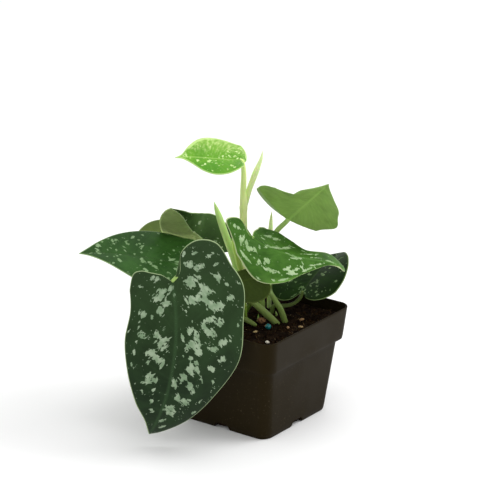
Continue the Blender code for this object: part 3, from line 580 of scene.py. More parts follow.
def leaf_top_material(name, look):
    """Upper side: green with jagged silver patches, pale margin, fine cells and a soft sheen."""
    g = Graph(name)
    flat = g.vector("flat")
    veins = g.vector("veins")
    margin = g.value("margin")
    side_vein = g.value("vein")
    ahead, aside = g.node("ShaderNodeSeparateXYZ", {0: flat}).outputs[:2]
    cloud = g.noise(flat, 60.0, 4.0)
    fine = g.noise(flat, 900.0, 2.0)
    streak = g.noise(g.stretch(veins, (3.0, 60.0, 1.0)), 1.0, 3.0)
    green = g.mix(g.range(cloud, 0.35, 0.7), look["dark"], look["light"])
    green = g.mix(g.math("MULTIPLY", g.range(streak, 0.45, 0.75), 0.35), green, look["light"])
    if "early" in look:
        green = g.mix(g.math("MULTIPLY", g.value("early"), 0.30), green, look["early"])
    if "right_dark" in look:
        blur = g.noise(g.stretch(veins, (5.0, 40.0, 1.0)), 1.0, 4.0)
        mottled = g.mix(g.range(blur, 0.40, 0.70), look["right_dark"], look["right_light"])
        split = g.math("MULTIPLY_ADD", blur, 0.020, aside)
        green = g.mix(g.range(split, 0.0100, 0.0300), green, mottled)
    # Painted light: a paler green along one edge of the blade near its margin, where the light falls on it.
    if "edge" in look:
        lit_edge_mask = g.math("MULTIPLY", g.range(margin, 0.0110, 0.0015), g.range(aside, -0.001, 0.004))
        lit_edge_mask = g.math("MULTIPLY", lit_edge_mask, g.range(ahead, 0.012, 0.030))
        green = g.mix(lit_edge_mask, green, look["edge"])
    green = g.mix(g.math("MULTIPLY", side_vein, 0.15), green, look["vein"])

    # The patch edges follow coarse and fine cells that lean with the side veins.
    grain = g.stretch(g.vector("grain"), (0.42, 1.0, 1.0))
    big = g.cell_chance(grain, 560.0, 0)
    small = g.cell_chance(grain, 1300.0, 1)
    wave = g.noise(grain, 420.0, 2.0)
    ragged = g.math("MULTIPLY_ADD", big, 0.72, g.math("MULTIPLY", small, 0.42))
    ragged = g.math("ADD", ragged, g.math("MULTIPLY", wave, 1.30))
    level = g.math("SUBTRACT", g.math("ADD", g.value("silver"), ragged), 1.28)
    patch = g.math("MULTIPLY", g.range(level, 0.47, 0.53), 0.92)

    # A few cells of the blade carry a small silver speck each.
    chosen = g.range(g.cell_chance(flat, 420.0, 2), 1.0 - look["specks"], 1.001, smooth=False)
    speck = g.math("MULTIPLY", chosen, g.range(g.cell_middles(flat, 420.0), 0.42, 0.30))
    speck = g.math("MINIMUM", g.math("MULTIPLY", speck, 30.0), look.get("speck_strength", 0.8))
    silver_mix = g.math("MAXIMUM", patch, speck)
    silver_mix = g.math("MULTIPLY", silver_mix, g.range(margin, 0.0009, 0.0022))
    silver_mix = g.math("MULTIPLY", silver_mix, g.range(fine, 0.15, 0.45, 0.8, 1.0))
    tone = g.range(g.noise(flat, 180.0, 3.0), 0.35, 0.65)
    colour = g.mix(silver_mix, green, g.mix(tone, look["silver"], look["silver_pale"]))
    rib = g.range(g.value("rib"), look.get("rib_width", 0.0011), 0.0002)
    colour = g.mix(g.math("MULTIPLY", rib, 0.5), colour, look["rib"])
    rim = g.range(margin, look.get("margin_width", 0.0009), 0.0003)
    colour = g.mix(g.math("MULTIPLY", rim, 0.8), colour, look["margin"])
    if "band" in look:
        band = g.range(margin, look["band"], look["band"] - 0.0008)
        band = g.math("MULTIPLY", band, g.range(aside, 0.0060, 0.0090))
        colour = g.mix(g.math("MULTIPLY", band, 0.75), colour, look["margin"])

    height = g.math("MULTIPLY_ADD", g.cell_middles(flat, 2600.0), 0.35, g.math("MULTIPLY", streak, 0.5))
    height = g.math("SUBTRACT", height, g.math("MULTIPLY", side_vein, 0.6))
    return g.set(Base_Color=colour, Roughness=g.range(cloud, 0.3, 0.7, 0.42, 0.55),
                 Normal=g.bump(height, 0.35, 0.00012), Specular_IOR_Level=look.get("gloss", 0.10),
                 Subsurface_Weight=look.get("glow", 0.0), Subsurface_Radius=(0.4, 1.0, 0.2),
                 Subsurface_Scale=0.0012)


def leaf_under_material(name, look):
    """Underside: matt, paler, with the side veins just showing."""
    g = Graph(name)
    flat = g.vector("flat")
    veins = g.vector("veins")
    cloud = g.noise(flat, 70.0, 4.0)
    streak = g.noise(g.stretch(veins, (4.0, 90.0, 1.0)), 1.0, 3.0)
    under = look["under"]
    pale = tuple(min(1.0, c * 1.35) for c in under)
    deep = tuple(c * 0.78 for c in under)
    colour = g.mix(g.range(cloud, 0.3, 0.7), deep, under)
    colour = g.mix(g.math("MULTIPLY", g.range(streak, 0.4, 0.75), 0.4), colour, pale)
    colour = g.mix(g.math("MULTIPLY", g.value("vein"), 0.25), colour, deep)
    rib = g.range(g.value("rib"), 0.0013, 0.0003)
    colour = g.mix(g.math("MULTIPLY", rib, 0.5), colour, pale)
    rim = g.range(g.value("margin"), 0.0012, 0.0003)
    colour = g.mix(g.math("MULTIPLY", rim, 0.75), colour, look["margin"])
    pores = g.cell_middles(flat, 2200.0)
    height = g.math("MULTIPLY_ADD", pores, 0.35, g.math("MULTIPLY", g.value("vein"), 0.7))
    return g.set(Base_Color=colour, Roughness=0.6, Normal=g.bump(height, 0.3, 0.00012),
                 Specular_IOR_Level=0.12, Subsurface_Weight=look.get("glow", 0.0),
                 Subsurface_Radius=(0.4, 1.0, 0.2), Subsurface_Scale=0.0012)


# ---------------------------------------------------------------- leaf blades

def silver_field(flat, patches):
    """How strongly each place belongs to a silver patch: 1 in its middle, 0.5 at its edge, 0 outside."""
    field = np.zeros(flat.shape[:2])
    for x, y, long_half, wide_half, tilt in patches:
        turn = radians(tilt)
        away = flat * 1000 - (x, y)
        length = (away[..., 0] * cos(turn) + away[..., 1] * sin(turn)) / long_half
        width = (away[..., 1] * cos(turn) - away[..., 0] * sin(turn)) / wide_half
        field = np.maximum(field, 1 - 0.5 * (length ** 2 + width ** 2))
    return np.clip(field, 0, 1)


def scattered_patches(leaf, seed, count, size):
    """Flecks lying along the side veins: (x mm, y mm, half length, half width, tilt)."""
    rng = np.random.default_rng(seed)
    start, end = 0.12, 0.94
    patches = []
    for index in range(count):
        side = 1 if index % 2 else -1
        along = start + (end - start) * rng.random()
        across = side * (0.12 + 0.76 * rng.random())
        here, out = (np.array(flat_place(leaf, np.array([reach]), np.array([along])))[:, 0] * 1000
                     for reach in (across, across * 1.05))
        tilt = np.degrees(np.arctan2(*(out - here)[::-1])) + rng.normal(0, 12)
        long_half = size * (0.45 + 1.1 * rng.random() ** 2)
        patches.append((*here, long_half, long_half * (0.32 + 0.3 * rng.random()), tilt))
    return patches


def vein_count(along, across):
    """How many side veins lie between the notch and here. They leave the midrib and lean to the tip."""
    return along * SIDE_VEINS + VEIN_LEAN * np.abs(across)


def side_veins(along, across):
    """A soft number that is 1 on a side vein and fades towards the edge."""
    phase = vein_count(along, across) % 1.0
    near = np.minimum(phase, 1 - phase)
    return np.exp(-(near / 0.07) ** 2) * np.clip(1.15 - np.abs(across), 0, 1)


def make_blade(name, leaf, top, under, patches, rows, columns):
    """A leaf blade with relief on both sides, a rounded edge and the numbers its materials read."""
    half_across = np.linspace(0, 1, columns + 1) ** 0.9
    across = np.concatenate([-half_across[::-1], half_across[1:]])
    along = np.linspace(0, 1, rows + 1)
    s, t = np.meshgrid(across, along)
    middle = blade_places(leaf, s, t)
    x, y = flat_place(leaf, s, t)
    flat = np.stack([x, y], -1)
    step_s = np.gradient(middle, axis=1)
    step_t = np.gradient(middle, axis=0)
    normal = np.cross(step_s, step_t)
    normal[0], normal[-1] = normal[1], normal[-2]
    normal /= np.linalg.norm(normal, axis=-1, keepdims=True) + 1e-12
    up = np.mean(normal.reshape(-1, 3), axis=0)
    if np.dot(up, np.mean(midrib_frames(leaf)[3], axis=0)) < 0:
        normal = -normal

    rib = np.abs(y)
    to_left, to_right = (np.linalg.norm(flat - edge, axis=-1) for edge in (flat[:, :1], flat[:, -1:]))
    edge_gap = np.where(s < 0, to_left, to_right)
    quilt = 0.5 - 0.5 * np.cos(2 * pi * vein_count(t, s))
    relief = QUILT_RISE * (quilt - 0.5) * np.clip(1.2 - np.abs(s), 0, 1) * np.clip(rib / 0.004, 0, 1)
    groove = -MIDRIB_GROOVE * np.exp(-(rib / 0.0008) ** 2) * np.clip(1.2 - t, 0, 1)
    ridge = MIDRIB_RIDGE * np.exp(-(rib / 0.0010) ** 2) * np.clip(1.1 - t, 0, 1)
    half = LEAF_THICKNESS / 2 * (0.55 + 0.45 * np.clip(edge_gap / 0.003, 0, 1))
    roll = -EDGE_ROLL * np.exp(-(edge_gap / 0.0010) ** 2)
    upper = middle + normal * (half + relief + groove + roll)[..., None]
    lower = middle - normal * (half - relief + ridge - roll)[..., None]

    rows, columns = s.shape
    count = rows * columns
    verts = np.concatenate([upper.reshape(-1, 3), lower.reshape(-1, 3)])
    index = np.arange(count).reshape(rows, columns)
    quads = np.stack([index[:-1, :-1], index[:-1, 1:], index[1:, 1:], index[1:, :-1]], -1).reshape(-1, 4)
    faces = [quads, quads[:, ::-1] + count]
    slots = [0] * len(quads) + [1] * len(quads)
    rim = []
    for column, turn in ((0, 1), (columns - 1, -1)):
        line = index[:, column]
        side = np.stack([line[:-1], line[1:], line[1:] + count, line[:-1] + count], -1)
        rim.append(side[:, ::turn])
    faces = np.concatenate(faces + rim)
    slots += [0] * (2 * (rows - 1))
    piece = new_piece(name, verts, faces, [top, under], slots)

    def twice(values):
        return np.concatenate([values.reshape(count, -1)] * 2)

    add_vectors(piece, "flat", twice(np.stack([x, y, np.full_like(x, leaf["length"])], -1)))
    add_vectors(piece, "veins", twice(np.stack([s, t, np.zeros_like(s)], -1)))
    along_vein = x * cos(VEIN_SLANT) + rib * sin(VEIN_SLANT)
    across_vein = rib * cos(VEIN_SLANT) - x * sin(VEIN_SLANT)
    add_vectors(piece, "grain", twice(np.stack([along_vein, across_vein, 0.05 * np.sign(y)], -1)))
    add_values(piece, "rib", twice(rib))
    add_values(piece, "margin", twice(edge_gap))
    add_values(piece, "vein", twice(side_veins(t, s)))
    add_values(piece, "early", twice(np.clip(1 - x / leaf["length"] * 1.6, 0, 1)))
    add_values(piece, "silver", twice(silver_field(flat, patches)))
    tidy_mesh(piece)
    return piece


# ---------------------------------------------------------------- stalks and shoots

def stalk_material(name, low, high, shade, glow):
    """Smooth stalk: one colour at the foot and one at the top, with faint lengthwise streaks."""
    g = Graph(name)
    around = g.vector("around")
    colour = g.mix(g.range(g.value("height"), 0.0, 1.0, smooth=False), low, high)
    streak = g.noise(g.stretch(around, (30.0, 3.0, 1.0)), 1.0, 3.0)
    cloud = g.noise(around, 9.0, 3.0)
    pale = g.mix(0.5, colour, (0.75, 0.85, 0.55))
    deep = g.mix(0.45, colour, (0.06, 0.13, 0.02))
    colour = g.mix(g.math("MULTIPLY", g.range(streak, 0.45, 0.7), 0.25), colour, pale)
    colour = g.mix(g.math("MULTIPLY", g.range(cloud, 0.5, 0.8), shade), colour, deep)
    normal = g.bump(streak, 0.25, 0.0002)
    return g.set(Base_Color=colour, Roughness=0.42, Normal=normal, Specular_IOR_Level=0.2,
                 Subsurface_Weight=glow, Subsurface_Radius=(0.5, 1.0, 0.3), Subsurface_Scale=0.0015)


def sweep(name, points, radii, material, section, rings=90, around=28):
    """A closed stalk along a smooth curve. section(angle, along) scales the radius round the stalk."""
    where = np.linspace(0, 1, rings)
    places = smooth_curve(points, where)
    widths = smooth_curve([(radius,) for radius in radii], where)[:, 0]
    ahead = np.gradient(places, axis=0)
    ahead /= np.linalg.norm(ahead, axis=1, keepdims=True)
    side = np.cross(ahead[0], (0.3, 1.0, 0.2))
    verts, around_values = [], []
    angles = np.linspace(0, 2 * pi, around, endpoint=False)
    for i in range(rings):
        side = side - ahead[i] * np.dot(side, ahead[i])
        side /= np.linalg.norm(side)
        other = np.cross(ahead[i], side)
        scale = widths[i] * section(angles, where[i])
        out = np.cos(angles)[:, None] * side + np.sin(angles)[:, None] * other
        verts.append(places[i] + scale[:, None] * out)
        around_values.append(np.stack([np.sin(angles / 2), np.full(around, where[i]), np.zeros(around)], -1))
    count = rings * around
    foot = places[:1] - ahead[:1] * widths[0] * 0.3
    top = places[-1:] + ahead[-1:] * widths[-1] * 0.5
    verts = np.concatenate(verts + [foot, top])
    index = np.arange(count).reshape(rings, around)
    right = np.roll(index, -1, axis=1)
    quads = np.stack([index[:-1], right[:-1], right[1:], index[1:]], -1).reshape(-1, 4)
    caps = [(count, right[0][k], index[0][k]) for k in range(around)]
    caps += [(count + 1, index[-1][k], right[-1][k]) for k in range(around)]
    piece = new_piece(name, verts, list(quads) + caps, [material])
    add_vectors(piece, "around", np.concatenate(around_values + [[[0, 0, 0]], [[0, 1, 0]]]))
    add_values(piece, "height", np.concatenate([np.repeat(where, around), [0.0, 1.0]]))
    tidy_mesh(piece, 0.0000005)
    return piece


def grooved(angles, along):
    """A leaf stalk's section: a shallow channel with a low wing on each side of it."""
    channel = -0.22 * np.exp(-(np.minimum(angles, 2 * pi - angles) / 0.45) ** 2)
    wings = 0.12 * np.exp(-((np.minimum(angles, 2 * pi - angles) - 0.8) / 0.25) ** 2)
    return 1.0 + channel + wings


def rolled(angles, along):
    """A rolled leaf's section: one edge lies over the other."""
    turn = (angles / (2 * pi) + 0.2 * along) % 1.0
    return 0.84 + 0.26 * turn


def jointed(angles, along):
    """A stem's section: faint ridges, and a slight ring where leaves once stood."""
    ridge = 0.03 * np.cos(5 * angles + 4 * along)
    ring = sum(0.10 * np.exp(-((along - place) / 0.012) ** 2) for place in (0.22, 0.47))
    return 1.0 + ridge + ring


# ---------------------------------------------------------------- leaves

LOOKS = {
    "leaf_front": dict(
        dark=rgb(20, 38, 16), light=rgb(31, 52, 26), silver=rgb(122, 146, 114),
        silver_pale=rgb(156, 174, 146), vein=rgb(52, 76, 46), rib=rgb(50, 76, 44),
        margin=rgb(168, 188, 140), under=rgb(70, 92, 52), early=rgb(60, 84, 46), specks=0.03,
        rib_width=0.0020,
    ),
    "leaf_left": dict(
        dark=rgb(34, 67, 21), light=rgb(50, 88, 34), silver=rgb(106, 136, 90),
        silver_pale=rgb(132, 160, 116), vein=rgb(58, 90, 42), rib=rgb(44, 72, 30),
        margin=rgb(150, 176, 120), under=rgb(92, 116, 66), specks=0.05,
    ),
    "leaf_folded": dict(
        dark=rgb(50, 76, 34), light=rgb(66, 94, 46), silver=rgb(136, 160, 118),
        silver_pale=rgb(164, 184, 142), vein=rgb(80, 104, 60), rib=rgb(88, 108, 58),
        margin=rgb(176, 196, 138), under=rgb(160, 180, 112), specks=0.10, glow=0.1,
    ),
    "leaf_rear_left": dict(
        dark=rgb(64, 84, 22), light=rgb(77, 95, 32), silver=rgb(110, 128, 70),
        silver_pale=rgb(124, 140, 84), vein=rgb(104, 120, 62), rib=rgb(110, 126, 66),
        margin=rgb(140, 156, 96), under=rgb(78, 96, 34), specks=0.02,
    ),
    "leaf_middle": dict(
        dark=rgb(46, 84, 24), light=rgb(74, 118, 42), silver=rgb(150, 180, 128),
        silver_pale=rgb(178, 202, 156), vein=rgb(92, 138, 60), rib=rgb(86, 130, 56),
        margin=rgb(206, 218, 166), under=rgb(110, 138, 74), specks=0.05, margin_width=0.0013, glow=0.1,
        # edge is painted light: a paler green where light falls along one edge of this blade.
        edge=rgb(108, 152, 68),
    ),
    "leaf_right": dict(
        dark=rgb(14, 34, 5), light=rgb(26, 50, 11), silver=rgb(82, 106, 66), silver_pale=rgb(112, 134, 94),
        vein=rgb(46, 66, 34), rib=rgb(52, 72, 38), margin=rgb(124, 146, 92), under=rgb(58, 78, 42),
        specks=0.06, gloss=0.05,
    ),
    "leaf_under": dict(
        dark=rgb(44, 62, 22), light=rgb(58, 78, 32), silver=rgb(86, 104, 60), silver_pale=rgb(104, 122, 76),
        vein=rgb(62, 80, 34), rib=rgb(68, 86, 38), margin=rgb(92, 108, 50), under=rgb(60, 78, 22),
        specks=0.04,
    ),
    "leaf_top": dict(
        dark=rgb(74, 138, 12), light=rgb(100, 158, 30), silver=rgb(176, 208, 124),
        silver_pale=rgb(204, 226, 156), right_dark=rgb(124, 170, 58), right_light=rgb(178, 206, 122),
        band=0.0034, vein=rgb(168, 206, 106), rib=rgb(172, 208, 112), margin=rgb(190, 218, 136),
        under=rgb(150, 190, 96), specks=0.10, speck_strength=0.5, glow=0.15, gloss=0.2, margin_width=0.0016,
    ),
    "leaf_upper_right": dict(
        dark=rgb(96, 134, 58), light=rgb(128, 164, 84), silver=rgb(150, 178, 118),
        silver_pale=rgb(168, 192, 138), vein=rgb(124, 156, 82), rib=rgb(126, 156, 84),
        margin=rgb(160, 186, 120), under=rgb(136, 172, 86), specks=0.06, glow=0.15,
    ),
}

# Silver flecks of the other leaves: seed, how many and usual half length in mm.
FLECKS = {
    "leaf_left": (11, 64, 2.1), "leaf_folded": (12, 60, 2.0), "leaf_rear_left": (13, 10, 1.0),
    "leaf_right": (14, 110, 1.3), "leaf_under": (15, 16, 1.0), "leaf_top": (16, 60, 1.3),
    "leaf_upper_right": (17, 22, 1.1),
}

# The two large leaves have their own patches and a finer mesh: patches, rows and columns.
PATCHED = {"leaf_front": (SILVER_FRONT, 210, 112), "leaf_middle": (SILVER_MIDDLE, 220, 100)}

for leaf_name, leaf in LEAVES.items():
    look = LOOKS[leaf_name]
    top = leaf_top_material(leaf_name + "_top", look)
    under = leaf_under_material(leaf_name + "_under", look)
    if leaf_name in PATCHED:
        patches, rows, columns = PATCHED[leaf_name]
    else:
        patches, rows, columns = scattered_patches(leaf, *FLECKS[leaf_name]), LEAF_ROWS, LEAF_COLUMNS
    declare(make_blade(leaf_name + "_blade", leaf, top, under, patches, rows, columns), leaf_name, leaf_name)


# ---------------------------------------------------------------- stalks and shoots

# Each: the leaf it carries, colour at the foot, colour at the top, and its section.
STALK_LOOKS = {
    "stem_top": ("leaf_top", rgb(248, 254, 186), rgb(214, 236, 142), jointed),
    "sheath_top": (None, rgb(222, 238, 160), rgb(228, 242, 182), rolled),
    "stalk_front": ("leaf_front", rgb(128, 148, 76), rgb(146, 176, 94), grooved),
    "stalk_left": ("leaf_left", rgb(126, 152, 76), rgb(130, 160, 80), grooved),
    "stalk_folded": ("leaf_folded", rgb(116, 140, 68), rgb(126, 154, 80), grooved),
    "stalk_rear_left": ("leaf_rear_left", rgb(106, 130, 62), rgb(118, 144, 72), grooved),
    "stalk_middle": ("leaf_middle", rgb(112, 132, 62), rgb(168, 204, 116), grooved),
    "stalk_right": ("leaf_right", rgb(96, 114, 50), rgb(100, 120, 56), grooved),
    "stalk_under": ("leaf_under", rgb(104, 124, 58), rgb(110, 132, 60), grooved),
    "stalk_upper_right": ("leaf_upper_right", rgb(148, 176, 92), rgb(156, 188, 102), grooved),
    "shoot_small": (None, rgb(206, 228, 150), rgb(228, 244, 182), rolled),
    "shoot_tall": (None, rgb(196, 230, 130), rgb(196, 230, 140), rolled),
    "shoot_short": (None, rgb(176, 208, 86), rgb(196, 224, 112), rolled),
    "stem_low": (None, rgb(104, 124, 52), rgb(116, 136, 60), jointed),
    "shoot_low": (None, rgb(140, 164, 84), rgb(164, 190, 110), rolled),
    "shoot_rear": (None, rgb(130, 154, 78), rgb(156, 182, 104), rolled),
}

# The sheath leaves the stem inside the stem's own round.
SHEATH_ROOT = [(-0.0130, 0.0068, 0.1512), (-0.0120, 0.0080, 0.1586), (-0.0105, 0.0089, 0.1657)]
SHEATH_ROOT_RADII = [0.0016, 0.0019, 0.0021]
PALE_STALKS = ("stem_top", "sheath_top", "shoot_tall", "shoot_short", "shoot_small")

for stalk_name, stalk in STALKS.items():
    leaf_name, low, high, section = STALK_LOOKS[stalk_name]
    points = list(stalk["points"])
    radii = list(stalk["radii"])
    if stalk_name == "sheath_top":
        points[:2] = SHEATH_ROOT
        radii[:2] = SHEATH_ROOT_RADII
    if leaf_name:
        points.append(LEAVES[leaf_name]["base"])
        radii.append(radii[-1] * 0.95)
    if section is rolled:
        radii[-1] = 0.00008
    shade, glow = (0.12, 0.4) if stalk_name in PALE_STALKS else (0.35, 0.15)
    skin = stalk_material(stalk_name + "_skin", low, high, shade=shade, glow=glow)
    made = sweep(stalk_name + "_round", points, radii, skin, section)
    declare(made, stalk_name, stalk_name)


# ---------------------------------------------------------------- pot

CORNER_STEPS = 18
SIDE_STEPS = 20


def rounded_square(half, corner, height):
    """Places round a square with rounded corners, counterclockwise."""
    places = []
    flat = half - corner
    for quarter in range(4):
        turn = quarter * pi / 2
        for step in range(CORNER_STEPS):
            angle = step / CORNER_STEPS * pi / 2
            places.append((flat + corner * cos(angle), flat + corner * sin(angle), turn))
        for step in range(SIDE_STEPS):
            places.append((flat - 2 * flat * step / SIDE_STEPS, half, turn))
    return np.array([(x * cos(turn) - y * sin(turn), x * sin(turn) + y * cos(turn), height)
                     for x, y, turn in places])


def loft(name, rings, materials):
    """A smooth body through rings of equally many places, closed at both ends by a middle point."""
    verts = np.concatenate(rings)
    around = len(rings[0])
    index = np.arange(len(verts)).reshape(len(rings), around)
    right = np.roll(index, -1, axis=1)
    faces = list(np.stack([index[:-1], right[:-1], right[1:], index[1:]], -1).reshape(-1, 4))
    first, last = rings[0].mean(axis=0), rings[-1].mean(axis=0)
    verts = np.concatenate([verts, [first, last]])
    count = len(verts)
    faces += [(count - 2, right[0][k], index[0][k]) for k in range(around)]
    faces += [(count - 1, index[-1][k], right[-1][k]) for k in range(around)]
    made = new_piece(name, verts, faces, materials)
    tidy_mesh(made)
    return made


def wall_half(height):
    """The outer half width of the wall below the band."""
    along = height / (POT_HEIGHT - BAND_DEPTH)
    return POT_HALF_FOOT + (POT_HALF_UNDER_BAND - POT_HALF_FOOT) * along


def pot_material():
    """Satin moulded plastic with a fine grain, rubbed marks and a little dust."""
    g = Graph("moulded_plastic")
    spot = g.node("ShaderNodeTexCoord").outputs["Object"]
    cloud = g.noise(spot, 22.0, 5.0)
    grain = g.noise(spot, 1600.0, 2.0)
    rub = g.noise(g.stretch(spot, (1.0, 1.0, 0.12)), 260.0, 4.0)
    colour = g.mix(g.range(cloud, 0.35, 0.7), rgb(24, 18, 4), rgb(27, 21, 7))
    colour = g.mix(g.range(rub, 0.62, 0.8, 0.0, 0.35), colour, rgb(54, 46, 28))
    dust = g.math("MULTIPLY", g.range(g.noise(spot, 700.0, 3.0), 0.6, 0.75), g.range(cloud, 0.4, 0.65))
    colour = g.mix(g.math("MULTIPLY", dust, 0.35), colour, rgb(96, 86, 70))
    height = g.math("MULTIPLY_ADD", grain, 0.5, g.math("MULTIPLY", rub, 0.3))
    rough = g.range(cloud, 0.3, 0.7, 0.44, 0.58)
    return g.set(Base_Color=colour, Roughness=rough, Normal=g.bump(height, 0.25, 0.00012),
                 Specular_IOR_Level=0.10, Specular_Tint=(1.0, 0.76, 0.46))


def make_pot():
    """The moulded wall, up the outside, over the lip and down the inside. A ring is half, corner, height."""
    step = POT_HEIGHT - BAND_DEPTH
    outer = [
        (POT_HALF_FOOT - 0.0012, CORNER_FOOT - 0.0012, 0.0),
        (POT_HALF_FOOT - 0.0006, CORNER_FOOT - 0.0006, 0.0001),
        (POT_HALF_FOOT, CORNER_FOOT, 0.0010),
    ]
    for height in np.linspace(0.004, step - 0.0012, 14):
        corner = CORNER_FOOT + (CORNER_UNDER_BAND - CORNER_FOOT) * height / step
        outer.append((wall_half(height), corner, height))
    outer += [
        (POT_HALF_UNDER_BAND + 0.0001, CORNER_UNDER_BAND, step - 0.0006),
        (POT_HALF_UNDER_BAND + 0.0005, CORNER_TOP - 0.0019, step - 0.0001),
        (POT_HALF_UNDER_BAND + 0.0012, CORNER_TOP - 0.0016, step),
        (POT_HALF_BAND_FOOT - 0.0008, CORNER_TOP - 0.0008, step),
        (POT_HALF_BAND_FOOT - 0.0002, CORNER_TOP - 0.0002, step + 0.0002),
        (POT_HALF_BAND_FOOT, CORNER_TOP, step + 0.0008),
    ]
    for along in np.linspace(0.1, 0.95, 8):
        half = POT_HALF_BAND_FOOT + (POT_HALF_TOP - POT_HALF_BAND_FOOT) * along
        outer.append((half, CORNER_TOP, step + (BAND_DEPTH - LIP) * along))
    for angle in np.linspace(0, pi, 9):
        back = WALL / 2 * (1 - cos(angle))
        outer.append((POT_HALF_TOP - back, CORNER_TOP - back, POT_HEIGHT - LIP + LIP * sin(angle)))
    outer += [
        (POT_HALF_BAND_FOOT - WALL, CORNER_TOP - WALL, step + WALL + 0.0006),
        (POT_HALF_BAND_FOOT - WALL - 0.0006, CORNER_TOP - WALL - 0.0004, step + WALL),
        (POT_HALF_UNDER_BAND - WALL + 0.0006, CORNER_TOP - 0.0030, step + WALL),
        (POT_HALF_UNDER_BAND - WALL, CORNER_TOP - 0.0034, step + WALL - 0.0006),
        (wall_half(MIDDLE_RING) - WALL, (CORNER_FOOT + CORNER_TOP) / 2 - WALL, MIDDLE_RING),
        (wall_half(FLOOR) - WALL, CORNER_FOOT - WALL, FLOOR),
    ]
    pot = loft("pot_wall", [rounded_square(*ring) for ring in outer], [pot_material()])
    return cut_drain_slots(pot)


def cut_drain_slots(pot):
    """Takes a slot with rounded edges, narrower above, out of each side's foot."""
    cutter = bmesh.new()
    for side in range(4):
        made = bmesh.ops.create_cube(cutter, size=1.0)["verts"]
        for vert in made:
            if vert.co.z > 0:
                vert.co.x *= DRAIN_SLOT_TOP_SHARE
        bmesh.ops.scale(cutter, verts=made, vec=DRAIN_SLOT)
        bmesh.ops.translate(cutter, verts=made, vec=(0.0, -POT_HALF_FOOT, 0.0))
        bmesh.ops.rotate(cutter, verts=made, cent=(0, 0, 0), matrix=Matrix.Rotation(side * pi / 2, 3, "Z"))
    bmesh.ops.bevel(cutter, geom=cutter.edges[:], offset=0.0012, segments=4, affect="EDGES",
                    clamp_overlap=True)
    slots = bpy.data.objects.new("drain_slots", bpy.data.meshes.new("drain_slots"))
    cutter.to_mesh(slots.data)
    cutter.free()
    bpy.context.scene.collection.objects.link(slots)
    cut = pot.modifiers.new("drain", "BOOLEAN")
    cut.operation = "DIFFERENCE"
    cut.object = slots
    bake_modifiers(pot)
    bpy.data.objects.remove(slots)
    pot.data.set_sharp_from_angle(angle=radians(35))
    return pot


def bake_modifiers(piece):
    """Replaces a piece's mesh by its evaluated one and drops the modifiers."""
    graph = bpy.context.evaluated_depsgraph_get()
    mesh = bpy.data.meshes.new_from_object(piece.evaluated_get(graph))
    piece.modifiers.clear()
    piece.data = mesh


declare(make_pot(), "pot", "pot")


# ---------------------------------------------------------------- soil

def rough_height(x, y):
    """The soil's gently waved top with clods and pits on it."""
    wave = sin(190 * x + 1.0) * cos(160 * y + 0.4) + 0.6 * sin(330 * y - 210 * x)
    clods = noise.fractal(Vector((x * 130, y * 130, 1.0)), 0.9, 2.1, 4)
    pits = noise.noise(Vector((x * 420, y * 420, 5.0)))
    return SOIL_HEIGHT + 0.0006 * wave + 0.0007 * clods + 0.0004 * pits


def soil_material(name, dark, light):
    """Matt peat or root, with paler grains."""
    g = Graph(name)
    spot = g.node("ShaderNodeTexCoord").outputs["Object"]
    clump = g.noise(spot, 180.0, 5.0)
    fine = g.noise(spot, 1500.0, 3.0)
    colour = g.mix(g.range(clump, 0.4, 0.7), dark, light)
    colour = g.mix(g.range(fine, 0.62, 0.75, 0.0, 0.5), colour, rgb(74, 60, 40))
    height = g.math("MULTIPLY_ADD", fine, 0.4, clump)
    return g.set(Base_Color=colour, Roughness=0.93, Normal=g.bump(height, 0.8, 0.0008),
                 Specular_IOR_Level=0.05)


def make_soil():
    """Fills the pot with a small gap to its wall, and is rough on top."""
    step = POT_HEIGHT - BAND_DEPTH + WALL
    back = WALL + SOIL_GAP
    low = [
        (wall_half(FLOOR) - back, CORNER_FOOT - back, FLOOR + SOIL_GAP),
        (wall_half(MIDDLE_RING) - back, (CORNER_FOOT + CORNER_TOP) / 2 - back, MIDDLE_RING),
        (POT_HALF_UNDER_BAND - back, CORNER_TOP - 0.0037, step - 0.0004),
        (POT_HALF_UNDER_BAND - back, CORNER_TOP - 0.0037, step + SOIL_GAP),
        (POT_HALF_BAND_FOOT - back - 0.0004, CORNER_TOP - back, step + SOIL_GAP),
    ]
    rings = [rounded_square(*ring) for ring in low]
    top_half = POT_HALF_BAND_FOOT - back + 0.0010
    for share in np.linspace(1.0, 0.02, 90):
        ring = rounded_square(top_half * share, (CORNER_TOP - back) * share, 0.0)
        for place in ring:
            place[2] = rough_height(place[0], place[1]) - 0.0012 * max(0.0, share - 0.94) / 0.06
        rings.append(ring)
    return loft("soil_body", rings, [soil_material("peat", rgb(17, 9, 4), rgb(36, 24, 13))])


def crumb(name, seed, size, jag, detail=1):
    """One rough crumb of 20 faces, or 80 with detail 2."""
    body = bmesh.new()
    bmesh.ops.create_icosphere(body, subdivisions=detail, radius=0.5)
    for vert in body.verts:
        push = 1 + jag * noise.noise(vert.co * 3.1 + Vector((seed, 0, 0)))
        vert.co = Vector((vert.co.x * size[0], vert.co.y * size[1], vert.co.z * size[2])) * push
    mesh = bpy.data.meshes.new(name)
    body.to_mesh(mesh)
    body.free()
    return bpy.data.objects.new(name, mesh)


def fibre(name, seed, length, width):
    """One thin bent strand, three sided."""
    rng = np.random.default_rng(seed)
    points = np.cumsum(rng.normal((1.0, 0, 0), (0.1, 0.35, 0.2), (6, 3)), axis=0)
    points = (points - points.mean(axis=0)) * length / 5
    rings = [place + width * np.array([(0, cos(a), sin(a)) for a in (0, 2.1, 4.2)]) for place in points]
    verts = np.concatenate(rings)
    faces = [(3 * i + k, 3 * i + (k + 1) % 3, 3 * i + 3 + (k + 1) % 3, 3 * i + 3 + k)
             for i in range(5) for k in range(3)] + [(2, 1, 0), (15, 16, 17)]
    mesh = bpy.data.meshes.new(name)
    mesh.from_pydata([tuple(v) for v in verts], [], faces)
    return bpy.data.objects.new(name, mesh)


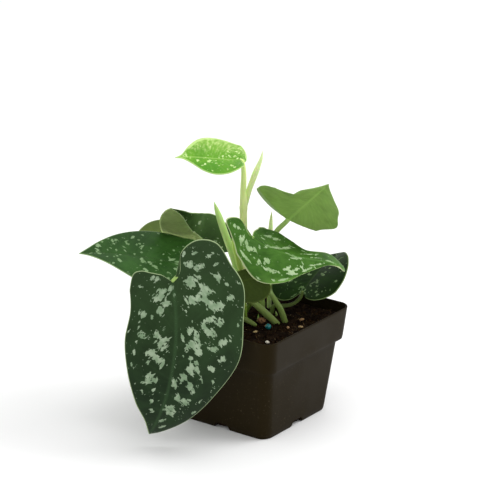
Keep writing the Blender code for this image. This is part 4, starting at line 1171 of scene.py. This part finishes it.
def scatter_tree():
    """A node tree that scatters a group's shapes over a surface, each turned and sized by chance."""
    tree = bpy.data.node_groups.new("scatter", "GeometryNodeTree")
    names = {}
    for label, kind in (("Surface", "Geometry"), ("Shapes", "Collection"), ("Density", "Float"),
                        ("Seed", "Int"), ("Small", "Float"), ("Large", "Float"), ("Tilt", "Float"),
                        ("Material", "Material")):
        socket = tree.interface.new_socket(name=label, in_out="INPUT", socket_type="NodeSocket" + kind)
        names[label] = socket.identifier
    tree.interface.new_socket(name="Scattered", in_out="OUTPUT", socket_type="NodeSocketGeometry")
    given = tree.nodes.new("NodeGroupInput").outputs
    points = tree.nodes.new("GeometryNodeDistributePointsOnFaces")
    shapes = tree.nodes.new("GeometryNodeCollectionInfo")
    shapes.inputs["Separate Children"].default_value = True
    shapes.inputs["Reset Children"].default_value = True
    turn = tree.nodes.new("FunctionNodeRandomValue")
    turn.data_type = "FLOAT_VECTOR"
    spread = tree.nodes.new("ShaderNodeCombineXYZ")
    spread.inputs["Z"].default_value = 2 * pi
    size = tree.nodes.new("FunctionNodeRandomValue")
    place = tree.nodes.new("GeometryNodeInstanceOnPoints")
    place.inputs["Pick Instance"].default_value = True
    real = tree.nodes.new("GeometryNodeRealizeInstances")
    paint = tree.nodes.new("GeometryNodeSetMaterial")
    out = tree.nodes.new("NodeGroupOutput")
    link = tree.links.new
    link(given["Surface"], points.inputs["Mesh"])
    link(given["Density"], points.inputs["Density"])
    link(given["Seed"], points.inputs["Seed"])
    link(given["Shapes"], shapes.inputs["Collection"])
    link(given["Tilt"], spread.inputs["X"])
    link(given["Tilt"], spread.inputs["Y"])
    link(spread.outputs[0], turn.inputs[1])
    link(given["Seed"], turn.inputs["Seed"])
    link(given["Small"], size.inputs[2])
    link(given["Large"], size.inputs[3])
    link(given["Seed"], size.inputs["Seed"])
    link(points.outputs["Points"], place.inputs["Points"])
    link(shapes.outputs[0], place.inputs["Instance"])
    link(turn.outputs[0], place.inputs["Rotation"])
    link(size.outputs[1], place.inputs["Scale"])
    link(place.outputs[0], real.inputs[0])
    link(real.outputs[0], paint.inputs["Geometry"])
    link(given["Material"], paint.inputs["Material"])
    link(paint.outputs[0], out.inputs[0])
    return tree, names


def scatter(name, surface, shapes, made_of, density, seed, small, large, tilt, tree, names):
    """One layer of loose pieces on the surface, as a plain flat-shaded mesh."""
    group = bpy.data.collections.new(name + "_shapes")
    bpy.context.scene.collection.children.link(group)
    for shape in shapes:
        group.objects.link(shape)
    mesh = surface.data.copy()
    piece = bpy.data.objects.new(name, mesh)
    bpy.context.scene.collection.objects.link(piece)
    step = piece.modifiers.new("scatter", "NODES")
    step.node_group = tree
    for label, value in (("Shapes", group), ("Density", density), ("Seed", seed), ("Small", small),
                         ("Large", large), ("Tilt", tilt), ("Material", made_of)):
        step[names[label]] = value
    bake_modifiers(piece)
    piece.data.polygons.foreach_set("use_smooth", [False] * len(piece.data.polygons))
    for shape in shapes:
        bpy.data.objects.remove(shape)
    bpy.data.collections.remove(group)
    return piece


def soil_surface():
    """The part of the soil's top on which crumbs lie."""
    half = POT_HALF_BAND_FOOT - WALL - 0.0012
    steps = 60
    line = np.linspace(-half, half, steps + 1)
    verts = [(x, y, rough_height(x, y)) for y in line for x in line]
    faces = []
    for j in range(steps):
        for i in range(steps):
            x, y = line[i], line[j]
            corner = max(abs(x) - (half - CORNER_TOP), 0) ** 2 + max(abs(y) - (half - CORNER_TOP), 0) ** 2
            if corner < (CORNER_TOP - 0.002) ** 2:
                a = j * (steps + 1) + i
                faces.append((a, a + 1, a + steps + 2, a + steps + 1))
    return new_piece("surface", verts, faces, [])


soil = make_soil()
declare(soil, "soil", "soil")
surface = soil_surface()
tree, names = scatter_tree()
dark_crumbs = [crumb(f"dark{i}", i * 7.3, (1.0, 0.8 + 0.1 * i, 0.6), 0.9) for i in range(4)]
layers = [
    ("soil_crumbs", dark_crumbs, soil_material("peat_crumbs", rgb(19, 10, 5), rgb(42, 28, 15)),
     420000, 3, 0.0005, 0.0017, 2 * pi),
    ("soil_clods", [crumb(f"clod{i}", 40 + i * 5.1, (1.0, 0.7, 0.6), 1.0, 2) for i in range(3)],
     soil_material("peat_clods", rgb(24, 14, 7), rgb(52, 34, 18)), 26000, 5, 0.0016, 0.0036, 2 * pi),
    ("soil_fibres", [fibre(f"strand{i}", 60 + i, 1.0, 0.035) for i in range(5)],
     soil_material("root_fibres", rgb(58, 44, 26), rgb(104, 82, 50)), 38000, 8, 0.0020, 0.0052, 0.7),
    ("soil_pale_bits", [crumb(f"pale{i}", 80 + i * 3.3, (1.0, 0.7, 0.5), 0.8) for i in range(3)],
     soil_material("pale_bits", rgb(120, 104, 72), rgb(168, 154, 122)), 9000, 9, 0.0004, 0.0011, 2 * pi),
]
for name, shapes, made_of, density, seed, small, large, tilt in layers:
    made = scatter(name, surface, shapes, made_of, density, seed, small, large, tilt, tree, names)
    declare(made, "soil")
bpy.data.objects.remove(surface)


# ---------------------------------------------------------------- bits on the soil

BITS = {
    "bark_nub": ((0.0058, 0.0040, 0.0044), 20, rgb(108, 74, 44), rgb(150, 110, 70)),
    "bark_chip_orange": ((0.0030, 0.0022, 0.0014), 50, rgb(176, 112, 56), rgb(204, 146, 84)),
    "feed_bead": ((0.0043, 0.0043, 0.0043), 0, rgb(10, 96, 100), rgb(20, 124, 124)),
    "straw_chip_front": ((0.0032, 0.0018, 0.0014), 70, rgb(168, 142, 92), rgb(196, 174, 124)),
    "perlite_front": ((0.0028, 0.0022, 0.0018), 10, rgb(200, 192, 174), rgb(224, 218, 204)),
    "bark_chip_right": ((0.0036, 0.0020, 0.0013), 130, rgb(132, 98, 62), rgb(164, 130, 88)),
    "straw_chip_right": ((0.0032, 0.0016, 0.0012), 30, rgb(164, 134, 88), rgb(190, 164, 116)),
    "bark_chip_rear": ((0.0040, 0.0024, 0.0014), 75, rgb(124, 90, 56), rgb(156, 120, 78)),
}


def bit_material(name, dark, light, rough):
    g = Graph(name)
    spot = g.node("ShaderNodeTexCoord").outputs["Object"]
    grain = g.noise(g.stretch(spot, (1.0, 3.0, 1.0)), 700.0, 4.0)
    colour = g.mix(g.range(grain, 0.35, 0.65), dark, light)
    return g.set(Base_Color=colour, Roughness=rough, Normal=g.bump(grain, 0.6, 0.0003))


for index, (name, (size, turn, dark, light)) in enumerate(BITS.items()):
    low, high = (Vector(corner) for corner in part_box(name))
    round_one = name == "feed_bead"
    body = bmesh.new()
    bmesh.ops.create_icosphere(body, subdivisions=4, radius=0.5)
    for vert in body.verts:
        rough = 0.02 if round_one else 0.35
        push = 1 + rough * noise.fractal(vert.co * 4 + Vector((index * 9.1, 0, 0)), 0.8, 2.0, 4)
        vert.co *= push
    bmesh.ops.scale(body, verts=body.verts, vec=size)
    bmesh.ops.rotate(body, verts=body.verts, cent=(0, 0, 0), matrix=Matrix.Rotation(radians(turn), 3, "Z"))
    bmesh.ops.translate(body, verts=body.verts, vec=(low + high) / 2 - Vector((0, 0, 0.0008)))
    mesh = bpy.data.meshes.new(name + "_rough")
    body.to_mesh(mesh)
    body.free()
    for face in mesh.polygons:
        face.use_smooth = True
    mesh.materials.append(bit_material(name + "_look", dark, light, 0.25 if round_one else 0.75))
    made = bpy.data.objects.new(name + "_rough", mesh)
    bpy.context.scene.collection.objects.link(made)
    declare(made, name, name)


# ---------------------------------------------------------------- floor, light and camera

VIEW_TURN = radians(36.2)
VIEW_RISE = radians(22.0)
VIEW_DISTANCE = 2.0
WORLD_LIGHT = 0.85
FLOOR_HALF = 3
FLOOR_DROP = 0.0001


def make_floor():
    """A pale floor, just under the pot so that the two don't share a plane."""
    g = Graph("pale_floor")
    pale = g.set(Base_Color=(0.92, 0.92, 0.92), Roughness=0.8, Specular_IOR_Level=0.1)
    corners = [(x * FLOOR_HALF, y * FLOOR_HALF, -FLOOR_DROP) for x, y in ((-1, -1), (1, -1), (1, 1), (-1, 1))]
    new_piece("floor", corners, [(0, 1, 2, 3)], [pale])


def make_world():
    """White all round, a little dimmer as a light than as a backdrop."""
    world = bpy.data.worlds.new("studio")
    world.use_nodes = True
    tree = world.node_tree
    background = tree.nodes["Background"]
    seen = tree.nodes.new("ShaderNodeLightPath").outputs["Is Camera Ray"]
    strength = tree.nodes.new("ShaderNodeMix")
    tree.links.new(seen, strength.inputs[0])
    strength.inputs[2].default_value = WORLD_LIGHT
    strength.inputs[3].default_value = 1.0
    background.inputs["Color"].default_value = (1, 1, 1, 1)
    tree.links.new(strength.outputs[0], background.inputs["Strength"])
    bpy.context.scene.world = world


def make_light(name, place, size, watts):
    """A round soft light that faces the plant."""
    light = bpy.data.lights.new(name, "AREA")
    light.shape = "DISK"
    light.size = size
    light.energy = watts
    made = bpy.data.objects.new(name, light)
    made.location = place
    made.rotation_euler = (Vector((0, 0, 0.08)) - Vector(place)).to_track_quat("-Z", "Y").to_euler()
    bpy.context.scene.collection.objects.link(made)


back = Vector((sin(VIEW_TURN) * cos(VIEW_RISE), -cos(VIEW_TURN) * cos(VIEW_RISE), sin(VIEW_RISE)))
right = Vector((cos(VIEW_TURN), sin(VIEW_TURN), 0))
up = back.cross(right)
middle = Vector((0, 0, 0.05))

make_floor()
make_world()
make_light("key", middle + right * 1.3 + up * 1.3 + back * 0.5, 1.0, 14)
make_light("top", Vector((0.0, 0.2, 1.8)), 1.6, 8)
make_light("front", middle + back * 1.6 - right * 0.9 + up * 0.6, 1.2, 2)

lens = bpy.data.cameras.new("view")
lens.lens = 200.59
lens.sensor_width = 36.0
lens.clip_end = 20
camera = bpy.data.objects.new("view", lens)
camera.location = middle + back * VIEW_DISTANCE
aim = middle + up * 0.0699 - right * 0.0028
camera.rotation_euler = (aim - camera.location).to_track_quat("-Z", "Y").to_euler()
bpy.context.scene.collection.objects.link(camera)
bpy.context.scene.camera = camera
bpy.context.scene.view_settings.view_transform = "Standard"
